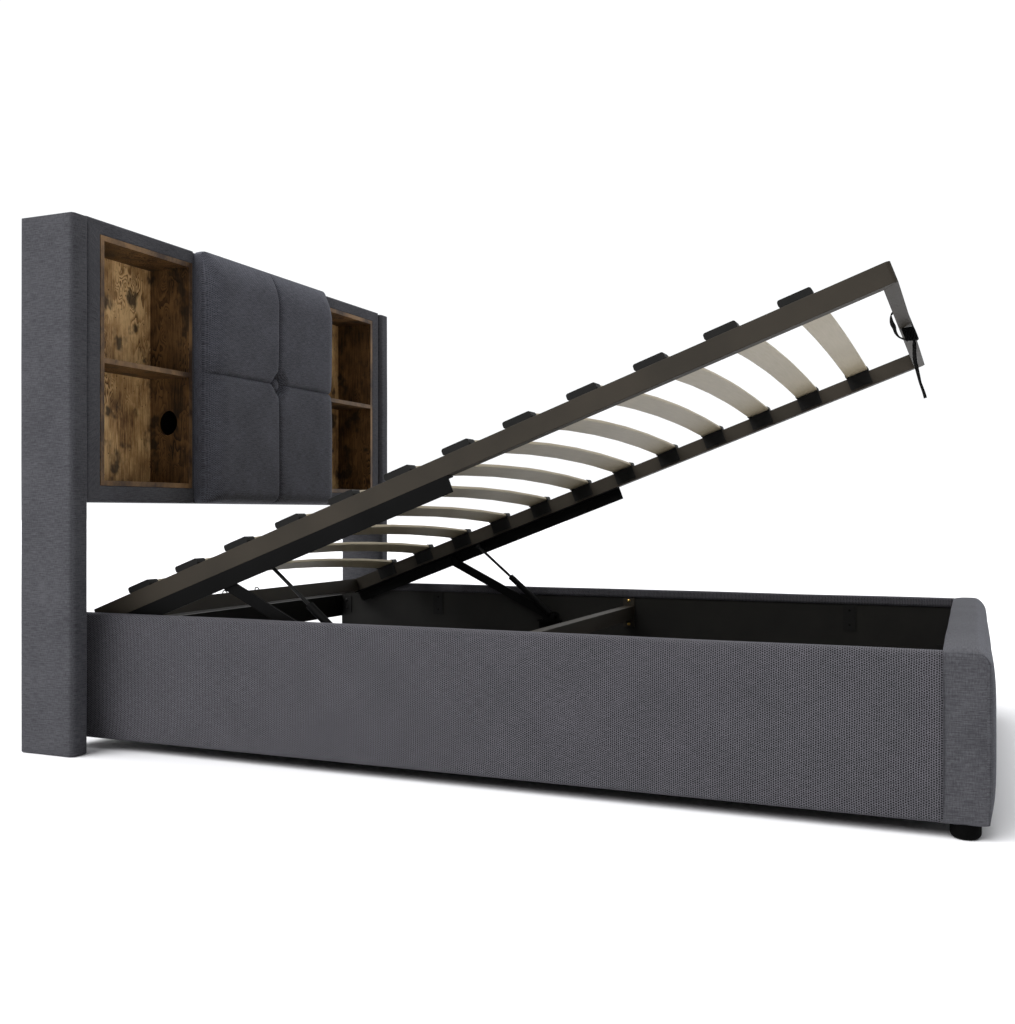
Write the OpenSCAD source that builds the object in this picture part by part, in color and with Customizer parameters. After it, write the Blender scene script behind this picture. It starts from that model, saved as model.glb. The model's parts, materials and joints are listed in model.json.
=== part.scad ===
// Upholstered lift-up storage bed with a shelf headboard.
// The frame has X across the bed, Y from foot to head and Z up, with the
// origin on the floor under the centre of the bed. The slatted platform is
// drawn at its open stop, which is its rest pose. Left is the -X side.

/* [Base] */
// Clear width between the side rails, for the mattress
mattress_w = 1200; // [1000:10:1600]
// Clear length from the footboard to the head cross rail
base_l = 1900; // [1850:10:2050]
// Height of the side rails' top above the floor
rail_top_z = 312; // [308:1:330]
// Height of the side rails' underside above the floor
rail_bottom_z = 25; // [22:1:30]
// Thickness of the boards inside the side rails
rail_board_t = 14; // [12:1:20]
// Thickness of the padding outside the side boards
rail_pad_t = 13; // [8:1:20]
// Thickness of the cover's lip inside the rails
rail_lip_t = 2; // [1.5:0.25:3]
// Height of the cover's lip inside the rails
rail_lip_h = 24; // [12:1:26]
// Rounding of the rails' padded edges
rail_round = 8; // [3:1:12]
// Overall thickness of the footboard
foot_t = 76; // [60:1:110]
// Thickness of the board inside the footboard
foot_board_t = 36; // [18:1:40]
// Height of the footboard's top above the floor
foot_top_z = 315; // [308:1:340]
// Rounding of the footboard's upper edges
foot_round = 20; // [10:1:30]
// Rounding of the footboard's lower edges
foot_low_round = 3; // [1:0.5:10]
// Swell of the footboard's padded outer face at its middle
foot_crown = 9; // [2:0.5:14]
// Diameter of the two round feet
foot_d = 50; // [35:1:60]
// Height of the two round feet
foot_h = 26; // [18:1:28]

/* [Storage base] */
// Thickness of the base panels
base_panel_t = 6; // [3:1:12]
// Width and height of the battens that carry the panels
batten_w = 15; // [10:1:25]
// Height of the base panels' underside above the floor
base_panel_z = 40; // [36:1:60]
// Width of the runner under the middle of the panels
runner_w = 40; // [30:1:60]
// Gap round the base panels
panel_gap = 0.5; // [0.2:0.1:2]

/* [Headboard] */
// Height of the headboard and its posts
head_h = 1212; // [1150:1:1300]
// Height of the headboard panel's lower edge
panel_bottom_z = 568; // [520:1:600]
// Width of a post
post_w = 50; // [36:1:70]
// Depth of a post
post_d = 152; // [146:1:180]
// Rounding of the posts' front upright edges
post_round = 12; // [4:1:15]
// Rounding of the posts' rear upright edges
post_back_round = 2; // [1:0.5:8]
// Thickness of the padded cover round a post's board
post_cover_t = 8; // [4:1:10]
// Gap between a post and the side rail beside it
post_gap = 42; // [30:1:60]
// Length of side rail that runs back between the posts
post_overlap = 111; // [96:1:114]
// Set-back of the panel from the posts' front
panel_inset = 8; // [0:0.5:12]
// Thickness of the headboard's rear board
back_t = 5; // [3:1:10]
// Half the width of the space for the centre cushion
centre_half_w = 298; // [200:1:330]
// Width of the padded stile beside each post
stile_w = 45; // [30:1:60]
// Width of the padded strip between a shelf box and the centre
inner_strip_w = 4; // [3:0.5:12]
// Height of the padded strip above a shelf box
top_strip_h = 30; // [20:1:50]
// Height of the padded strip below a shelf box
bottom_strip_h = 38; // [20:1:60]
// Thickness of the shelf box's boards
box_t = 12; // [9:1:20]
// Thickness of the shelf box's rear panel
box_back_t = 4; // [3:0.5:8]
// Inside depth of a shelf box
box_depth = 124; // [100:1:126]
// Height of the middle shelf's underside above the floor
shelf_z = 889; // [830:1:1000]
// Diameter of the cable hole
cable_hole_d = 64; // [40:1:80]
// Height of the cable hole's centre
cable_hole_z = 775; // [680:1:780]
// Set-back of the cable hole's centre from the box front
cable_hole_y = 70; // [60:1:80]
// Thickness of the board behind the centre cushion
centre_board_t = 18; // [12:1:25]

/* [Centre cushion] */
// Thickness of the cushion at its edge
cushion_side = 34; // [20:1:40]
// Rounding of the cushion's edges
cushion_round = 32; // [15:1:40]
// Thickness of the cushion at its sewn seams
cushion_seam = 48; // [42:1:60]
// Height of each quarter's crown above the seams
cushion_crown = 21; // [5:1:25]
// Thickness of the cushion under the tuft button
cushion_tuft = 36; // [28:1:42]
// Height of the seam that runs across
cushion_seam_z = 901; // [850:1:950]
// Amount that the sides draw in at the seams' ends
cushion_draw = 4; // [0:0.5:8]
// Diameter of the tuft button
button_d = 34; // [20:1:50]
// Thickness of the tuft button
button_t = 14; // [8:1:18]

/* [Head cross rail] */
// Thickness of the head cross rail
cross_rail_t = 30; // [18:1:36]
// Height of the cross rail's top
cross_rail_top_z = 268; // [240:1:280]
// Height of the cross rail's face
cross_rail_h = 70; // [50:1:100]

/* [Platform] */
// Gap between the closed platform and each side rail's lip
side_gap = 6; // [5:0.5:9]
// Height of the frame's steel tube
tube_h = 40; // [30:1:50]
// Width of the frame's steel tube
tube_w = 27; // [20:1:40]
// Wall of the frame's steel tube
tube_wall = 1.5; // [1:0.1:3]
// Rounding of the frame's corners
frame_round = 10; // [4:1:20]
// Height of the closed frame's underside
closed_z = 268; // [266:1:275]
// Gap between the closed frame and the footboard
foot_gap = 3; // [3:0.5:8]
// Gap between the closed frame and the head cross rail
head_gap = 7; // [6:0.5:12]
// Angle of the open platform
open_tilt = 20.6; // [15:0.1:24]
// Number of slats
slat_n = 12; // [8:1:14]
// Distance from the frame's foot end to the first slat's middle
first_slat_s = 169; // [100:1:220]
// Distance from one slat to the next
slat_pitch = 143; // [110:1:145]
// Width of a slat
slat_w = 60; // [40:1:70]
// Thickness of a slat
slat_t = 8; // [6:0.5:12]
// Rise of a slat's bow at its middle
slat_bow = 25; // [10:1:35]
// Thickness of a holder's walls beside the slat
holder_wall = 2; // [1.5:0.25:6]
// Thickness of a holder's roof over the slat
holder_roof = 2; // [1:0.25:4]
// Width of a slat holder across the tube
holder_w = 30; // [24:1:36]
// Rounding of a slat holder's ends
holder_round = 5; // [2:0.5:7]
// Thickness of a holder's floor under the slat
holder_floor = 2.5; // [2:0.25:4]
// Thickness of a holder's lip on the tube's inner face
holder_lip_t = 2.5; // [1:0.25:3]
// Height of a holder's lip
holder_lip_h = 34; // [20:1:38]
// Depth that a slat's end goes into its holder
slat_seat = 20; // [10:1:22]
// Gap between a slat's end and its holder
slat_fit = 0.2; // [0.1:0.05:0.3]

/* [Lift mechanism] */
// Thickness of the lift angles and links' steel
angle_t = 3; // [2:0.5:4]
// Height of a lift angle's upright side
angle_h = 36; // [30:1:38]
// Length of a lift angle
angle_l = 960; // [900:5:965]
// Set-back of the lift angle from the frame's head end
angle_setback = 10; // [5:1:15]
// Length of a lift arm between its pivots
arm_len = 368.1; // [360:0.1:380]
// Width of a lift arm
arm_w = 26; // [18:1:30]
// Thickness of a lift arm
arm_t = 6; // [4:0.5:8]
// Distance from the frame's head end to the arm's pivot
arm_from_head = 368; // [350:1:380]
// Drop of the arm's pivot below the tube
arm_drop = 17; // [17:0.5:20]
// Height of the arm's lower pivot above the floor
arm_base_z = 229; // [226:0.5:232]
// Angle of the open arm above level
arm_open = 26.2; // [24:0.1:28]
// Diameter of the pivot pins
pin_d = 8; // [6:0.5:10]
// Diametral running gap of the pivots
pin_fit = 0.2; // [0.1:0.05:0.2]
// Width of a swing link
swing_w = 18; // [14:1:20]
// Distance from the frame's head end to the swing link's stud
swing_from_head = 50; // [40:1:60]
// Drop of the swing link's stud below the tube
swing_drop = 30; // [24:1:32]
// Offset of the swing link's upper pivot from its stud's path
swing_offset = 30; // [27:1:33]
// Distance from the frame's head end to the gas spring's stud
spring_from_head = 482; // [450:1:520]
// Drop of the gas spring's stud below the tube
spring_drop = 12; // [12:0.5:18]
// Distance of the spring's lower pivot from the arm's, towards the foot
spring_base_dy = 25; // [22:1:40]
// Distance of the spring's lower pivot below the arm's
spring_base_dz = 3; // [0:0.5:12]
// Diameter of the gas cylinder
cylinder_d = 18; // [12:1:18]
// Length of the gas cylinder's tube
cylinder_l = 170; // [120:1:190]
// Wall of the gas cylinder's tube
cylinder_wall = 2; // [1.5:0.25:2.5]
// Diameter of the gas spring's rod
rod_d = 8; // [5:0.5:10]
// Width of the lift's base bracket
bracket_w = 72; // [64:1:100]
// Height of the base bracket's plate on the side board
bracket_h = 90; // [60:1:120]

/* [Middle cross bar] */
// Distance of the cross bar's middle from the head cross rail
cross_bar_set = 998; // [998:1:1100]
// Width of the cross bar
cross_bar_w = 30; // [20:1:32]
// Height of the cross bar
cross_bar_h = 39; // [32:1:45]
// Height of the cross bar's top
cross_bar_top_z = 263; // [240:1:264]
// Width of the cross bar's end plates
end_plate_w = 34; // [30:1:50]
// Height of the cross bar's end plates
end_plate_h = 86; // [80:1:88]
// Thickness of the end plates
end_plate_t = 4; // [2:0.5:5]
// Spacing of an end plate's two screws
end_screw_gap = 70; // [62:1:76]

/* [Plates and fasteners] */
// Thickness of the flat plates and corner brackets
plate_t = 2.5; // [1.5:0.5:4]
// Width of the flat plates on the side boards
joint_plate_w = 34; // [20:1:50]
// Height of the flat plates on the side boards
joint_plate_h = 72; // [60:1:90]
// Distance of the rear flat plates from the head cross rail
head_plate_y = 360; // [300:5:500]
// Distance of the front flat plates from the footboard
foot_plate_y = 266; // [150:1:400]
// Length of a corner bracket's legs
corner_leg = 38; // [30:1:60]
// Height of a corner bracket
corner_h = 56; // [50:1:60]
// Diameter of a bolt's head
bolt_head_d = 10; // [7:0.5:14]
// Diameter of a small screw's head
screw_head_d = 6; // [4:0.5:8]
// Diameter of the wire in clips and loops
wire_d = 3; // [2:0.5:4]
// Radius of the wire loops on the head tube
wire_loop_r = 10; // [8:1:20]

/* [Pull strap] */
// Width of the pull strap's webbing
strap_w = 25; // [15:1:30]
// Thickness of the pull strap's webbing
strap_t = 2.4; // [1.5:0.1:3]
// Gap between the webbing and the tube
strap_gap = 0.3; // [0.2:0.1:1]
// Amount that the loose strap hangs below the tube
strap_sag = 27; // [5:1:40]

/* [Hidden] */

$fn = 48;
// Steps round the very large circles of the bowed slats
bow_fn = 1440;

// Colours as the photograph shows them
fabric_c = [0.27, 0.28, 0.33];
fabric_light_c = [0.33, 0.34, 0.39];
wood_c = [0.42, 0.27, 0.15];
wood_edge_c = [0.66, 0.46, 0.28];
board_c = [0.12, 0.12, 0.12];
steel_c = [0.24, 0.23, 0.21];
black_c = [0.05, 0.05, 0.05];
chrome_c = [0.6, 0.6, 0.62];
slat_c = [0.78, 0.74, 0.66];
brass_c = [0.7, 0.55, 0.25];

// Gap that keeps parts of different bodies clear of each other
clear = 0.3;
// A cut's extra depth past the face it opens
eps = 1;
// Thickness of a rail's cover under and over its board
cover_under = 5;
cover_over = 6;
// Gap between a cover's lip and the plates below it
lip_gap = 1;
// Drop of the rear corner brackets below the cross rail's top
corner_drop = 2;

// Base, across
in_x = mattress_w/2;
board_x = in_x + rail_lip_t;
pad_x = board_x + rail_board_t;
rail_x = pad_x + rail_pad_t;
post_in_x = rail_x + post_gap;
post_out_x = post_in_x + post_w;

// Base and headboard, along
overall_l = foot_crown + foot_t + base_l + post_d - post_overlap;
back_y = overall_l/2;
post_front_y = back_y - post_d;
foot_out_y = -back_y + foot_crown;
foot_in_y = foot_out_y + foot_t;
cross_y = foot_in_y + base_l;
panel_y = post_front_y + panel_inset;
back_board_y = back_y - back_t;
rail_l = base_l;
board_z = rail_bottom_z + cover_under;
board_top_z = rail_top_z - cover_over;
lip_z = rail_top_z - rail_lip_h;

// Shelf boxes
box_in_x = centre_half_w + inner_strip_w;
box_out_x = post_in_x - stile_w;
box_z = panel_bottom_z + bottom_strip_h;
box_top_z = head_h - top_strip_h;
hole_y = panel_y + cable_hole_y;

// Closed platform, and the arm's pivots
closed_y = foot_in_y + foot_gap;
frame_l = base_l - foot_gap - head_gap;
frame_x = in_x - side_gap;
cross_bar_y = cross_y - cross_bar_set;
arm_s = frame_l - arm_from_head;
arm_base_y = closed_y + arm_s
    - sqrt(pow(arm_len, 2) - pow(closed_z - arm_drop - arm_base_z, 2));
arm_top_y = arm_base_y + arm_len*cos(arm_open);
arm_top_z = arm_base_z + arm_len*sin(arm_open);
arm_closed = asin((closed_z - arm_drop - arm_base_z)/arm_len);

// Places on the platform, open and closed, from a distance s and a height h
function open_pt(s, h) = [
    arm_top_y + (s - arm_s)*cos(open_tilt) + (h + arm_drop)*sin(open_tilt),
    arm_top_z - (s - arm_s)*sin(open_tilt) + (h + arm_drop)*cos(open_tilt)];
function closed_pt(s, h) = [closed_y + s, closed_z + h];

// Swing link: its upper pivot is level with both places of its stud
swing_s = frame_l - swing_from_head;
swing_open = open_pt(swing_s, -swing_drop);
swing_closed = closed_pt(swing_s, -swing_drop);
swing_d = swing_open - swing_closed;
swing_top = (swing_open + swing_closed)/2 + swing_offset*[swing_d[1], -swing_d[0]]/norm(swing_d);
swing_len = norm(swing_open - swing_top);
swing_angle = atan2(swing_open[1] - swing_top[1], swing_open[0] - swing_top[0]);
swing_closed_angle = atan2(swing_closed[1] - swing_top[1], swing_closed[0] - swing_top[0]);

// Gas spring: lower pivot, stud on the platform, and its line
spring_s = frame_l - spring_from_head;
spring_open = open_pt(spring_s, -spring_drop);
spring_closed = closed_pt(spring_s, -spring_drop);
spring_base = [arm_base_y - spring_base_dy, arm_base_z - spring_base_dz];
spring_len = norm(spring_open - spring_base);
spring_closed_len = norm(spring_closed - spring_base);
spring_angle = atan2(spring_open[1] - spring_base[1], spring_open[0] - spring_base[0]);
spring_closed_angle = atan2(spring_closed[1] - spring_base[1], spring_closed[0] - spring_base[0]);

// Layers of the lift, across, outermost first, and the gaps between them
arm_gap = 1;
bracket_gap = 0.5;
spring_gap = 2.5;
swing_gap = 4.5;
tab_gap = 1;
bracket_t = 4;
angle_x = frame_x;
arm_x = angle_x - angle_t - arm_gap;
bracket_x = arm_x - arm_t - bracket_gap;
spring_x = bracket_x - bracket_t - spring_gap - cylinder_d/2;
swing_x = frame_x + swing_gap;
tab_x = bracket_x - tab_gap;

// Gas spring details
eye_t = 10;
eye_r = 7.5;
eye_neck = 14;

// Pull strap's place across the bed, and its tail's distance inside the tube's outer face
tail_x = -98;
tail_s = 8.5;
// The tail as hand-picked places on its middle line in Y and Z, seen from its start
// on the band's lower face
tail_route = [[0, 0], [-1, -4], [-1.5, -10], [-1.5, -18], [-1.5, -26], [-2, -36], [-3, -46], [-5, -55],
    [-7, -64], [-9, -73], [-11, -82], [-13, -91], [-16, -100], [-19, -109], [-21.5, -117], [-23.5, -125]];

// Helpers

// Shows its children on one side: -1 is the left, 1 is the right
module on_side(side) {
    mirror([side < 0 ? 1 : 0, 0, 0]) children();
}

// Puts children drawn in the frame's own place, s along Y and h along Z, on the open platform
module on_platform() {
    translate([0, arm_top_y, arm_top_z])
        rotate([-open_tilt, 0, 0])
            translate([0, -arm_s, arm_drop])
                children();
}

// Box from its lowest to its highest corner
module block(lo, hi) {
    translate(lo) cube(hi - lo);
}

// Rectangle with round corners, r0 at its lower edge and r1 at its upper edge
module round_rect(w, d, r0, r1) {
    translate([r0, 0]) square([w - 2*r0, d/2]);
    translate([r1, d/2]) square([w - 2*r1, d/2]);
    translate([0, r0]) square([w, d - r0 - r1]);
    for (x = [r0, w - r0]) translate([x, r0]) circle(r0);
    for (x = [r1, w - r1]) translate([x, d - r1]) circle(r1);
}

// Cylinder along X, between two places
module pin_x(x0, x1, y, z, d) {
    translate([x0, y, z]) rotate([0, 90, 0]) cylinder(h = x1 - x0, d = d);
}

// Flat bar with round ends from the origin along Y, in the X layer x0 to x1, with two bores
module link_bar(x0, x1, length, width, bore) {
    difference() {
        union() {
            block([x0, 0, -width/2], [x1, length, width/2]);
            pin_x(x0, x1, 0, 0, width);
            pin_x(x0, x1, length, 0, width);
        }
        pin_x(x0 - eps, x1 + eps, 0, 0, bore);
        pin_x(x0 - eps, x1 + eps, length, 0, bore);
    }
}

// Low domed head of diameter d that faces along -X, with its back at x = 0
module dome_head(d) {
    h = d/4;
    ball_r = (pow(d/2, 2) + pow(h, 2))/(2*h);
    rotate([0, -90, 0])
        rotate_extrude()
            intersection() {
                translate([0, h - ball_r]) circle(ball_r);
                square([d/2, h]);
            }
}

// Hollow rectangular tube's section
module tube_section(w, h) {
    difference() {
        square([w, h]);
        translate([tube_wall, tube_wall]) square([w - 2*tube_wall, h - 2*tube_wall]);
    }
}

// Whole tube frame from the outline in, inset by the wall or not: solid or its hollow
module frame_ring(inset) {
    w = 2*frame_x - 2*inset;
    l = frame_l - 2*inset;
    rib = tube_w - 2*inset;
    translate([0, 0, inset]) linear_extrude(tube_h - 2*inset) difference() {
        translate([-w/2, inset]) round_rect(w, l, frame_round - inset, frame_round - inset);
        translate([rib - w/2, inset + rib]) square([w - 2*rib, l - 2*rib]);
    }
}

// One mitred tube of the frame, cut out of the ring by an outline in its plane
module frame_tube(outline) {
    difference() {
        intersection() {
            frame_ring(0);
            translate([0, 0, -eps]) linear_extrude(tube_h + 2*eps) polygon(outline);
        }
        frame_ring(tube_wall);
    }
}

// Headboard

module post_board(side) {
    color(board_c) on_side(side)
        block([post_in_x + post_cover_t, post_front_y + post_cover_t, 0],
            [post_out_x - post_cover_t, back_y - post_cover_t, head_h - post_cover_t]);
}

module post_cover(side) {
    color(fabric_c) on_side(side) difference() {
        translate([post_in_x, post_front_y, 0])
            linear_extrude(head_h) round_rect(post_w, post_d, post_round, post_back_round);
        block([post_in_x + post_cover_t, post_front_y + post_cover_t, -eps],
            [post_out_x - post_cover_t, back_y - post_cover_t, head_h - post_cover_t]);
    }
}

// Padded frame round a shelf box
module surround(side) {
    color(fabric_c) on_side(side) difference() {
        block([centre_half_w, panel_y, panel_bottom_z], [post_in_x, back_board_y, head_h]);
        block([box_in_x, panel_y - eps, box_z], [box_out_x, back_board_y + eps, box_top_z]);
        pin_x(centre_half_w - eps, box_in_x + eps, hole_y, cable_hole_z, cable_hole_d);
    }
}

module shelf_box(side) {
    color(wood_c) on_side(side) difference() {
        block([box_in_x, panel_y, box_z], [box_out_x, panel_y + box_depth, box_top_z]);
        block([box_in_x + box_t, panel_y - eps, box_z + box_t],
            [box_out_x - box_t, panel_y + box_depth + eps, box_top_z - box_t]);
        pin_x(box_in_x - eps, box_in_x + box_t + eps, hole_y, cable_hole_z, cable_hole_d);
    }
}

module shelf_back(side) {
    color(wood_c) on_side(side)
        block([box_in_x, panel_y + box_depth, box_z],
            [box_out_x, panel_y + box_depth + box_back_t, box_top_z]);
}

module shelf(side) {
    color(wood_edge_c) on_side(side)
        block([box_in_x + box_t, panel_y, shelf_z],
            [box_out_x - box_t, panel_y + box_depth, shelf_z + box_t]);
}

// Board behind the cushion, with a top and a bottom that reach the rear board
module centre_frame() {
    color(fabric_c) difference() {
        block([-centre_half_w, panel_y, panel_bottom_z], [centre_half_w, back_board_y, head_h]);
        block([-centre_half_w - eps, panel_y + centre_board_t, panel_bottom_z + top_strip_h],
            [centre_half_w + eps, back_board_y + eps, head_h - top_strip_h]);
    }
}

module headboard_back() {
    color(board_c)
        block([-post_in_x, back_board_y, panel_bottom_z], [post_in_x, back_y, head_h]);
}

// Centre cushion: four crowned quarters between two sewn seams

// Grid steps across half of the cushion
half_n = 13;
cushion_n = 2*half_n;
// Lengths over which a quarter rises from its seam, first steeply, then gently
seam_run = [10, 60];
// Share of the gentle rise, and the radius of a quarter's corners
gentle_share = 0.3;
corner_r = 30;
// Distance over which the face rises out of the tuft
tuft_run = 32;
// Gap on each side of the cushion
cushion_gap = 0.5;
cushion_half_h = (head_h - panel_bottom_z)/2;

// Place from -1 to 1 of grid line k, close-set at the seam and at the edges
function grid_f(k) = k < half_n
    ? -(1 - cos(180*(half_n - k)/half_n))/2
    : (1 - cos(180*(k - half_n)/half_n))/2;
// Distance from a seam of the first grid line past the button, on a half of this length
function past_button(half) = min([for (k = [1:half_n]) if (half*grid_f(half_n + k) >= button_d/2)
    half*grid_f(half_n + k)]);
// Radius that stays flat under the button
tuft_flat = norm([past_button(centre_half_w), past_button(cushion_seam_z - panel_bottom_z)]);
// Rounding of the edge at distance e inside it
function edge_f(e) = e < cushion_round ? sqrt(max(0, 1 - pow(1 - e/cushion_round, 2))) : 1;
// Distance inside a quarter's outline, at distances a and b from the two seams
function inside(a, b) = a < corner_r && b < corner_r
    ? max(0, corner_r - norm([corner_r - a, corner_r - b]))
    : min(a, b);
function steep(t) = 1 - exp(-t/seam_run[0]);
function gentle(t) = 1 - gentle_share*exp(-t/seam_run[1]);
function smooth(t) = t < 0 ? 0 : t > 1 ? 1 : t*t*(3 - 2*t);
// Thickness of the face at x and height z, before its edges are rounded
function face_f(x, z) =
    let (a = abs(x), b = abs(z - cushion_seam_z),
         pillow = cushion_seam + cushion_crown*steep(inside(a, b))*gentle(a)*gentle(b),
         w = smooth((norm([x, z - cushion_seam_z]) - tuft_flat)/tuft_run))
    cushion_tuft*(1 - w) + pillow*w;
function cushion_z(f) = f < 0
    ? cushion_seam_z + f*(cushion_seam_z - panel_bottom_z)
    : cushion_seam_z + f*(head_h - cushion_seam_z);
// Amount that the outline draws in, most at the seams' ends and least between
function draw_f(f) = cushion_draw*pow(cos(90*abs(f)), 4);
function cushion_pt(i, j) =
    let (fx = grid_f(i), fz = grid_f(j),
         x = fx*(centre_half_w - cushion_gap - draw_f(fz)),
         z = cushion_z(fz*(1 - draw_f(fx)/cushion_half_h)),
         ex = (1 - abs(fx))*centre_half_w,
         ez = min(head_h - cushion_z(fz), cushion_z(fz) - panel_bottom_z),
         t = cushion_side + (face_f(x, z) - cushion_side)*edge_f(ex)*edge_f(ez))
    [x, panel_y - t, z];
function back_pt(i, j) = [cushion_pt(i, j)[0], panel_y, cushion_pt(i, j)[2]];

// Grid places round the cushion's rim, in one direction
rim = concat([for (i = [0:cushion_n - 1]) [i, 0]], [for (j = [0:cushion_n - 1]) [cushion_n, j]],
    [for (i = [cushion_n:-1:1]) [i, cushion_n]], [for (j = [cushion_n:-1:1]) [0, j]]);
row_n = cushion_n + 1;
face_count = row_n*row_n;

module centre_cushion() {
    points = concat([for (j = [0:cushion_n], i = [0:cushion_n]) cushion_pt(i, j)],
        [for (r = rim) back_pt(r[0], r[1])], [[0, panel_y, cushion_seam_z]]);
    front = [for (j = [0:cushion_n - 1], i = [0:cushion_n - 1], k = [0, 1])
        let (a = j*row_n + i, b = a + 1, c = a + row_n, d = c + 1)
        k == 0 ? [a, c, b] : [b, c, d]];
    sides = [for (n = [0:len(rim) - 1], k = [0, 1])
        let (m = (n + 1) % len(rim), a = rim[n][1]*row_n + rim[n][0],
             b = rim[m][1]*row_n + rim[m][0], p = face_count + n, q = face_count + m)
        k == 0 ? [a, b, p] : [b, q, p]];
    back = [for (n = [0:len(rim) - 1])
        [face_count + n, face_count + (n + 1) % len(rim), face_count + len(rim)]];
    color(fabric_light_c) polyhedron(points, concat(front, sides, back));
}

// Fabric-covered button in the tuft, with a shallow dome
module tuft_button() {
    dome_r = (pow(button_d/2, 2) + pow(button_t/2, 2))/button_t;
    color(fabric_c)
        translate([0, panel_y - cushion_tuft - clear, cushion_seam_z])
            rotate([90, 0, 0])
                rotate_extrude() {
                    square([button_d/2, button_t/2]);
                    intersection() {
                        translate([0, button_t - dome_r]) circle(dome_r);
                        translate([0, button_t/2]) square([button_d/2, button_t/2]);
                    }
                }
}

module head_cross_rail() {
    color(board_c)
        block([-post_in_x, cross_y, cross_rail_top_z - cross_rail_h],
            [post_in_x, cross_y + cross_rail_t, cross_rail_top_z]);
}

// Base

module side_board(side) {
    color(board_c) on_side(side)
        block([board_x, foot_in_y, board_z], [pad_x, cross_y, board_top_z]);
}

// Padded cover round a side board, with a lip inside the rail's top
module side_cover(side) {
    color(fabric_light_c) on_side(side)
        translate([0, cross_y, 0]) rotate([90, 0, 0]) linear_extrude(rail_l) {
            difference() {
                translate([in_x, rail_bottom_z])
                    union() {
                        square([rail_x - in_x - rail_round, rail_top_z - rail_bottom_z]);
                        translate([0, rail_round])
                            square([rail_x - in_x, rail_top_z - rail_bottom_z - 2*rail_round]);
                        for (z = [rail_round, rail_top_z - rail_bottom_z - rail_round])
                            translate([rail_x - in_x - rail_round, z]) circle(rail_round);
                    }
                translate([board_x, board_z]) square([rail_board_t, board_top_z - board_z]);
                translate([in_x - eps, rail_bottom_z - eps])
                    square([rail_lip_t + eps, rail_top_z - rail_lip_h - rail_bottom_z + eps]);
            }
        }
}

// Thickness of the footboard's padding at its ends and its top
foot_pad = 20;
foot_board_y = foot_in_y - foot_t/2 - foot_board_t/2;

module foot_board() {
    color(board_c)
        block([foot_pad - rail_x, foot_board_y, foot_h],
            [rail_x - foot_pad, foot_board_y + foot_board_t, foot_top_z - foot_pad]);
}

// Segment of a circle on the side y < 0 of a chord from the origin along X, with a given height
module bow(chord, height) {
    r = (pow(chord/2, 2) + pow(height, 2))/(2*height);
    intersection() {
        translate([chord/2, r - height]) circle(r, $fn = bow_fn);
        translate([0, -height]) square([chord, height]);
    }
}

// Footboard's section, from its outer face in: it swells between the lower and the upper rounding
module foot_section() {
    h = foot_top_z - foot_h;
    round_rect(foot_t, h, foot_low_round, foot_round);
    translate([0, h - foot_round]) rotate([0, 0, -90])
        bow(h - foot_low_round - foot_round, foot_crown);
}

// Footboard's plan, whose outer side swells from end to end
module foot_plan() {
    square([2*rail_x, foot_t]);
    bow(2*rail_x, foot_crown);
}

module foot_cover() {
    color(fabric_c) difference() {
        intersection() {
            translate([-rail_x, foot_out_y, foot_h]) rotate([90, 0, 90])
                linear_extrude(2*rail_x) foot_section();
            translate([-rail_x, foot_out_y, foot_h])
                linear_extrude(foot_top_z - foot_h) foot_plan();
        }
        block([foot_pad - rail_x, foot_board_y, foot_h - eps],
            [rail_x - foot_pad, foot_board_y + foot_board_t, foot_top_z - foot_pad]);
    }
}

// Distance of a foot's middle from the footboard's end, and the rounding of its lower edge
foot_set = 24;
foot_edge = 10;

module feet() {
    color(black_c) for (side = [-1, 1]) on_side(side)
        translate([rail_x - foot_set, foot_in_y - foot_t/2, 0]) rotate_extrude() {
            square([foot_d/2 - foot_edge, foot_h]);
            translate([0, foot_edge]) square([foot_d/2, foot_h - foot_edge]);
            translate([foot_d/2 - foot_edge, foot_edge]) circle(foot_edge);
        }
}

module base_battens() {
    color(wood_edge_c) for (side = [-1, 1]) on_side(side)
        block([board_x - batten_w, foot_in_y, base_panel_z - batten_w],
            [board_x, cross_y, base_panel_z]);
}

module base_runner() {
    color(wood_edge_c)
        block([-runner_w/2, foot_in_y, 0], [runner_w/2, cross_y, base_panel_z]);
}

// Base panel from y0 to y1, on the battens and the runner
module base_panel(y0, y1) {
    color(board_c)
        block([-board_x + panel_gap, y0 + panel_gap, base_panel_z],
            [board_x - panel_gap, y1 - panel_gap, base_panel_z + base_panel_t]);
}

module base_panel_head() {
    base_panel(cross_bar_y, cross_y);
}

module base_panel_foot() {
    base_panel(foot_in_y, cross_bar_y);
}

// Middle cross bar, a steel tube between two plates on the side boards
module cross_bar() {
    color(steel_c)
        translate([-board_x + end_plate_t, cross_bar_y - cross_bar_w/2, cross_bar_top_z - cross_bar_h])
            rotate([90, 0, 90])
                linear_extrude(2*(board_x - end_plate_t)) tube_section(cross_bar_w, cross_bar_h);
}

// Middle of the end plates, and their half height, which stays clear of the cover's lip
end_plate_z = cross_bar_top_z - cross_bar_h/2;
end_plate_half = min(end_plate_h/2, lip_z - lip_gap - end_plate_z);

module cross_bar_plates() {
    color(steel_c) for (side = [-1, 1]) on_side(side)
        block([board_x - end_plate_t, cross_bar_y - end_plate_w/2, end_plate_z - end_plate_half],
            [board_x, cross_bar_y + end_plate_w/2, end_plate_z + end_plate_half]);
}

module cross_bar_screws() {
    color(brass_c) for (side = [-1, 1], k = [-1, 1]) on_side(side)
        translate([board_x - end_plate_t, cross_bar_y, end_plate_z + k*end_screw_gap/2])
            dome_head(bolt_head_d);
}

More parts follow.
